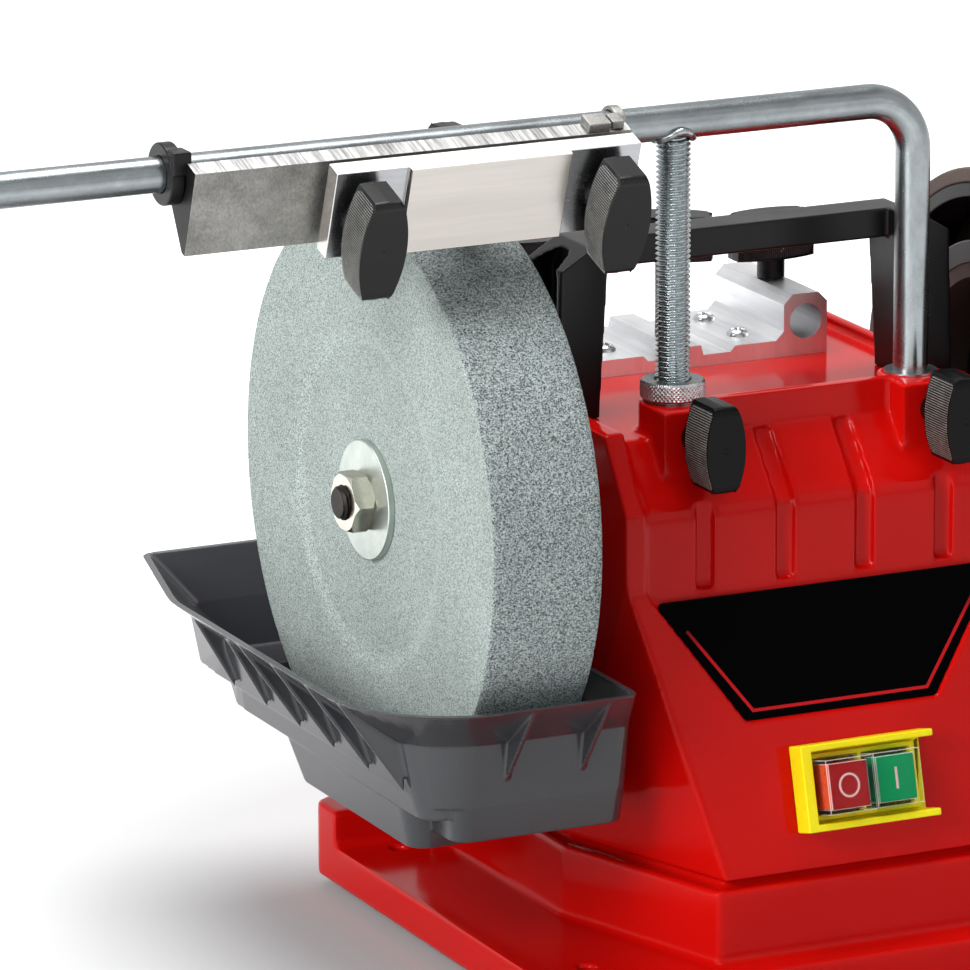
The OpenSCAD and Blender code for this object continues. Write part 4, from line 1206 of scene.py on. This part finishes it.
def switch_parts():
    """The frame, and two keys with a ring on the first and a bar on the second."""
    rounded_piece("switch_frame", "switch_bezel", "machine", "yellow_plastic", "yellow", width=0.5)
    frame_w = 2.4
    frame_u = 2.0
    frame_v = -24.8
    key_drop = 0.2
    steps = 40
    turns = [2 * math.pi * i / steps for i in range(steps + 1)]
    ring = [(3.6 * math.cos(a), 3.8 * math.sin(a)) for a in turns]
    bar = [(0, -3.7), (0, 3.7)]
    for word, body, u, proud, sign, width in (("red", "off_button", -9.9, 14, ring, 0.75),
                                              ("green", "on_button", 9.7, 11, bar, 0.9)):
        key_and_cover(word, body)
        key_sign(word, body, sign, width, (frame_u + u, frame_v, frame_w + proud - key_drop))


# Mount and its screws

def off_cross(a, b):
    """How far a point is outside a cross recess, as a share of the head's radius."""
    half = 0.13
    reach = 0.56
    one_arm = max(abs(a) - half, 0) + max(abs(b) - reach, 0)
    other_arm = max(abs(b) - half, 0) + max(abs(a) - reach, 0)
    return min(one_arm, other_arm)


def pan_head(centre, r, h, turn):
    """Points and faces of a domed screw head with a cross recess, on a square-to-round grid."""
    n = 28
    slope = 0.09
    points = []
    for j in range(n + 1):
        for i in range(n + 1):
            x = 2 * i / n - 1
            y = 2 * j / n - 1
            dx = x * math.sqrt(1 - y * y / 2)
            dy = y * math.sqrt(1 - x * x / 2)
            d = min(1.0, math.hypot(dx, dy))
            a = dx * math.cos(turn) + dy * math.sin(turn)
            b = dy * math.cos(turn) - dx * math.sin(turn)
            dome = h * math.sqrt(max(0.0, 1 - d ** 2.6))
            sunk = 0.5 * h * max(0.0, 1 - off_cross(a, b) / slope)
            points.append(centre + Vector((dx * r, dy * r, dome - sunk)))
    return points, ring_faces(n + 1, n + 1, closed=False)


def mount_parts():
    """The mount and its four screws."""
    # The end faces take the paler tone with its painted red reflection.
    rounded_piece("mount_block", "support_mount", "machine", "anodised", ["anodised", "anodised_end_red_reflection"],
                  lambda centre, normal: int(abs(normal.y) > 0.9), width=0.4)
    screw_x = 26
    rows_y = (51, 77)
    seat_z = 196.5
    head_r = 4.0
    head_h = 2.4
    shank_r = 2.0
    shank_long = 14
    places = [(x, y) for y in rows_y for x in (-screw_x, screw_x)]
    parts = []
    for k, (x, y) in enumerate(places):
        seat = Vector((x, y, seat_z))
        parts.append((*pan_head(seat, head_r, head_h, turn=0.4 + k * 0.7), 0))
        shank, quads = collar(shank_r, -shank_long, 0.02, 24)
        parts.append(([p + seat for p in shank], quads, 0))
    mesh = mesh_of("mount_pan_heads", *joined(*parts))
    smooth_sharp(mesh, 50)
    piece("mount_pan_heads", mesh, "machine", "zinc_steel", "zinc", "mount_screws")


# Honing wheel

def honing_parts():
    """The drum with a paler ring, and the leather on its rim."""
    ring_in_r = 54
    ring_out_r = 67
    nap_r = 88

    def on_ring(centre, normal):
        return int(normal.x < -0.9 and ring_in_r < from_spindle(centre) < ring_out_r)

    def on_nap(centre, normal):
        return int(abs(normal.x) < 0.5 and from_spindle(centre) > nap_r)

    rounded_piece("honing_drum", "honing_wheel", "spindle_set", "black_plastic", ["black", "wheel_ring"],
                  on_ring, width=0.6, angle=40)
    rounded_piece("leather_band", "leather_strap", "spindle_set", "leather", ["leather", "leather_nap"],
                  on_nap, width=0.9, segments=3, angle=40)


# Nodes that keep their own solids

def plain_nodes():
    """A finish for each node whose solid is shown as it is."""
    finishes = {
        "rubber": ["feet"],
        "ring_rubber": ["drive_ring"],
        "zinc": ["base_screws", "handle_screws", "jig_studs"],
        "steel": ["sleeve_bush_left", "sleeve_bush_right", "bearing_left", "bearing_right", "motor_bracket",
                  "motor_rotor", "stone_flange", "stone_spacer", "wheel_spacer"],
        "black": ["cable_gland"],
        "yellow": ["switch_block"],
        "grey": ["motor_fan"],
        "laminations": ["motor_stator"],
        "milled": ["capacitor", "motor_end_caps"],
    }
    for finish, names in finishes.items():
        for name in names:
            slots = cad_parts[name].data.materials
            slots.clear()
            slots.append(FINISH[finish])


photo_camera()
studio()
make_groups()
make_finishes()
body_shells()
knobs()
grinding_stone()
spindle_parts()
thread_leg()
weld_bead()
support_bar()
knurled_nut()
jig_parts()
label_parts()
switch_parts()
mount_parts()
honing_parts()
plain_nodes()
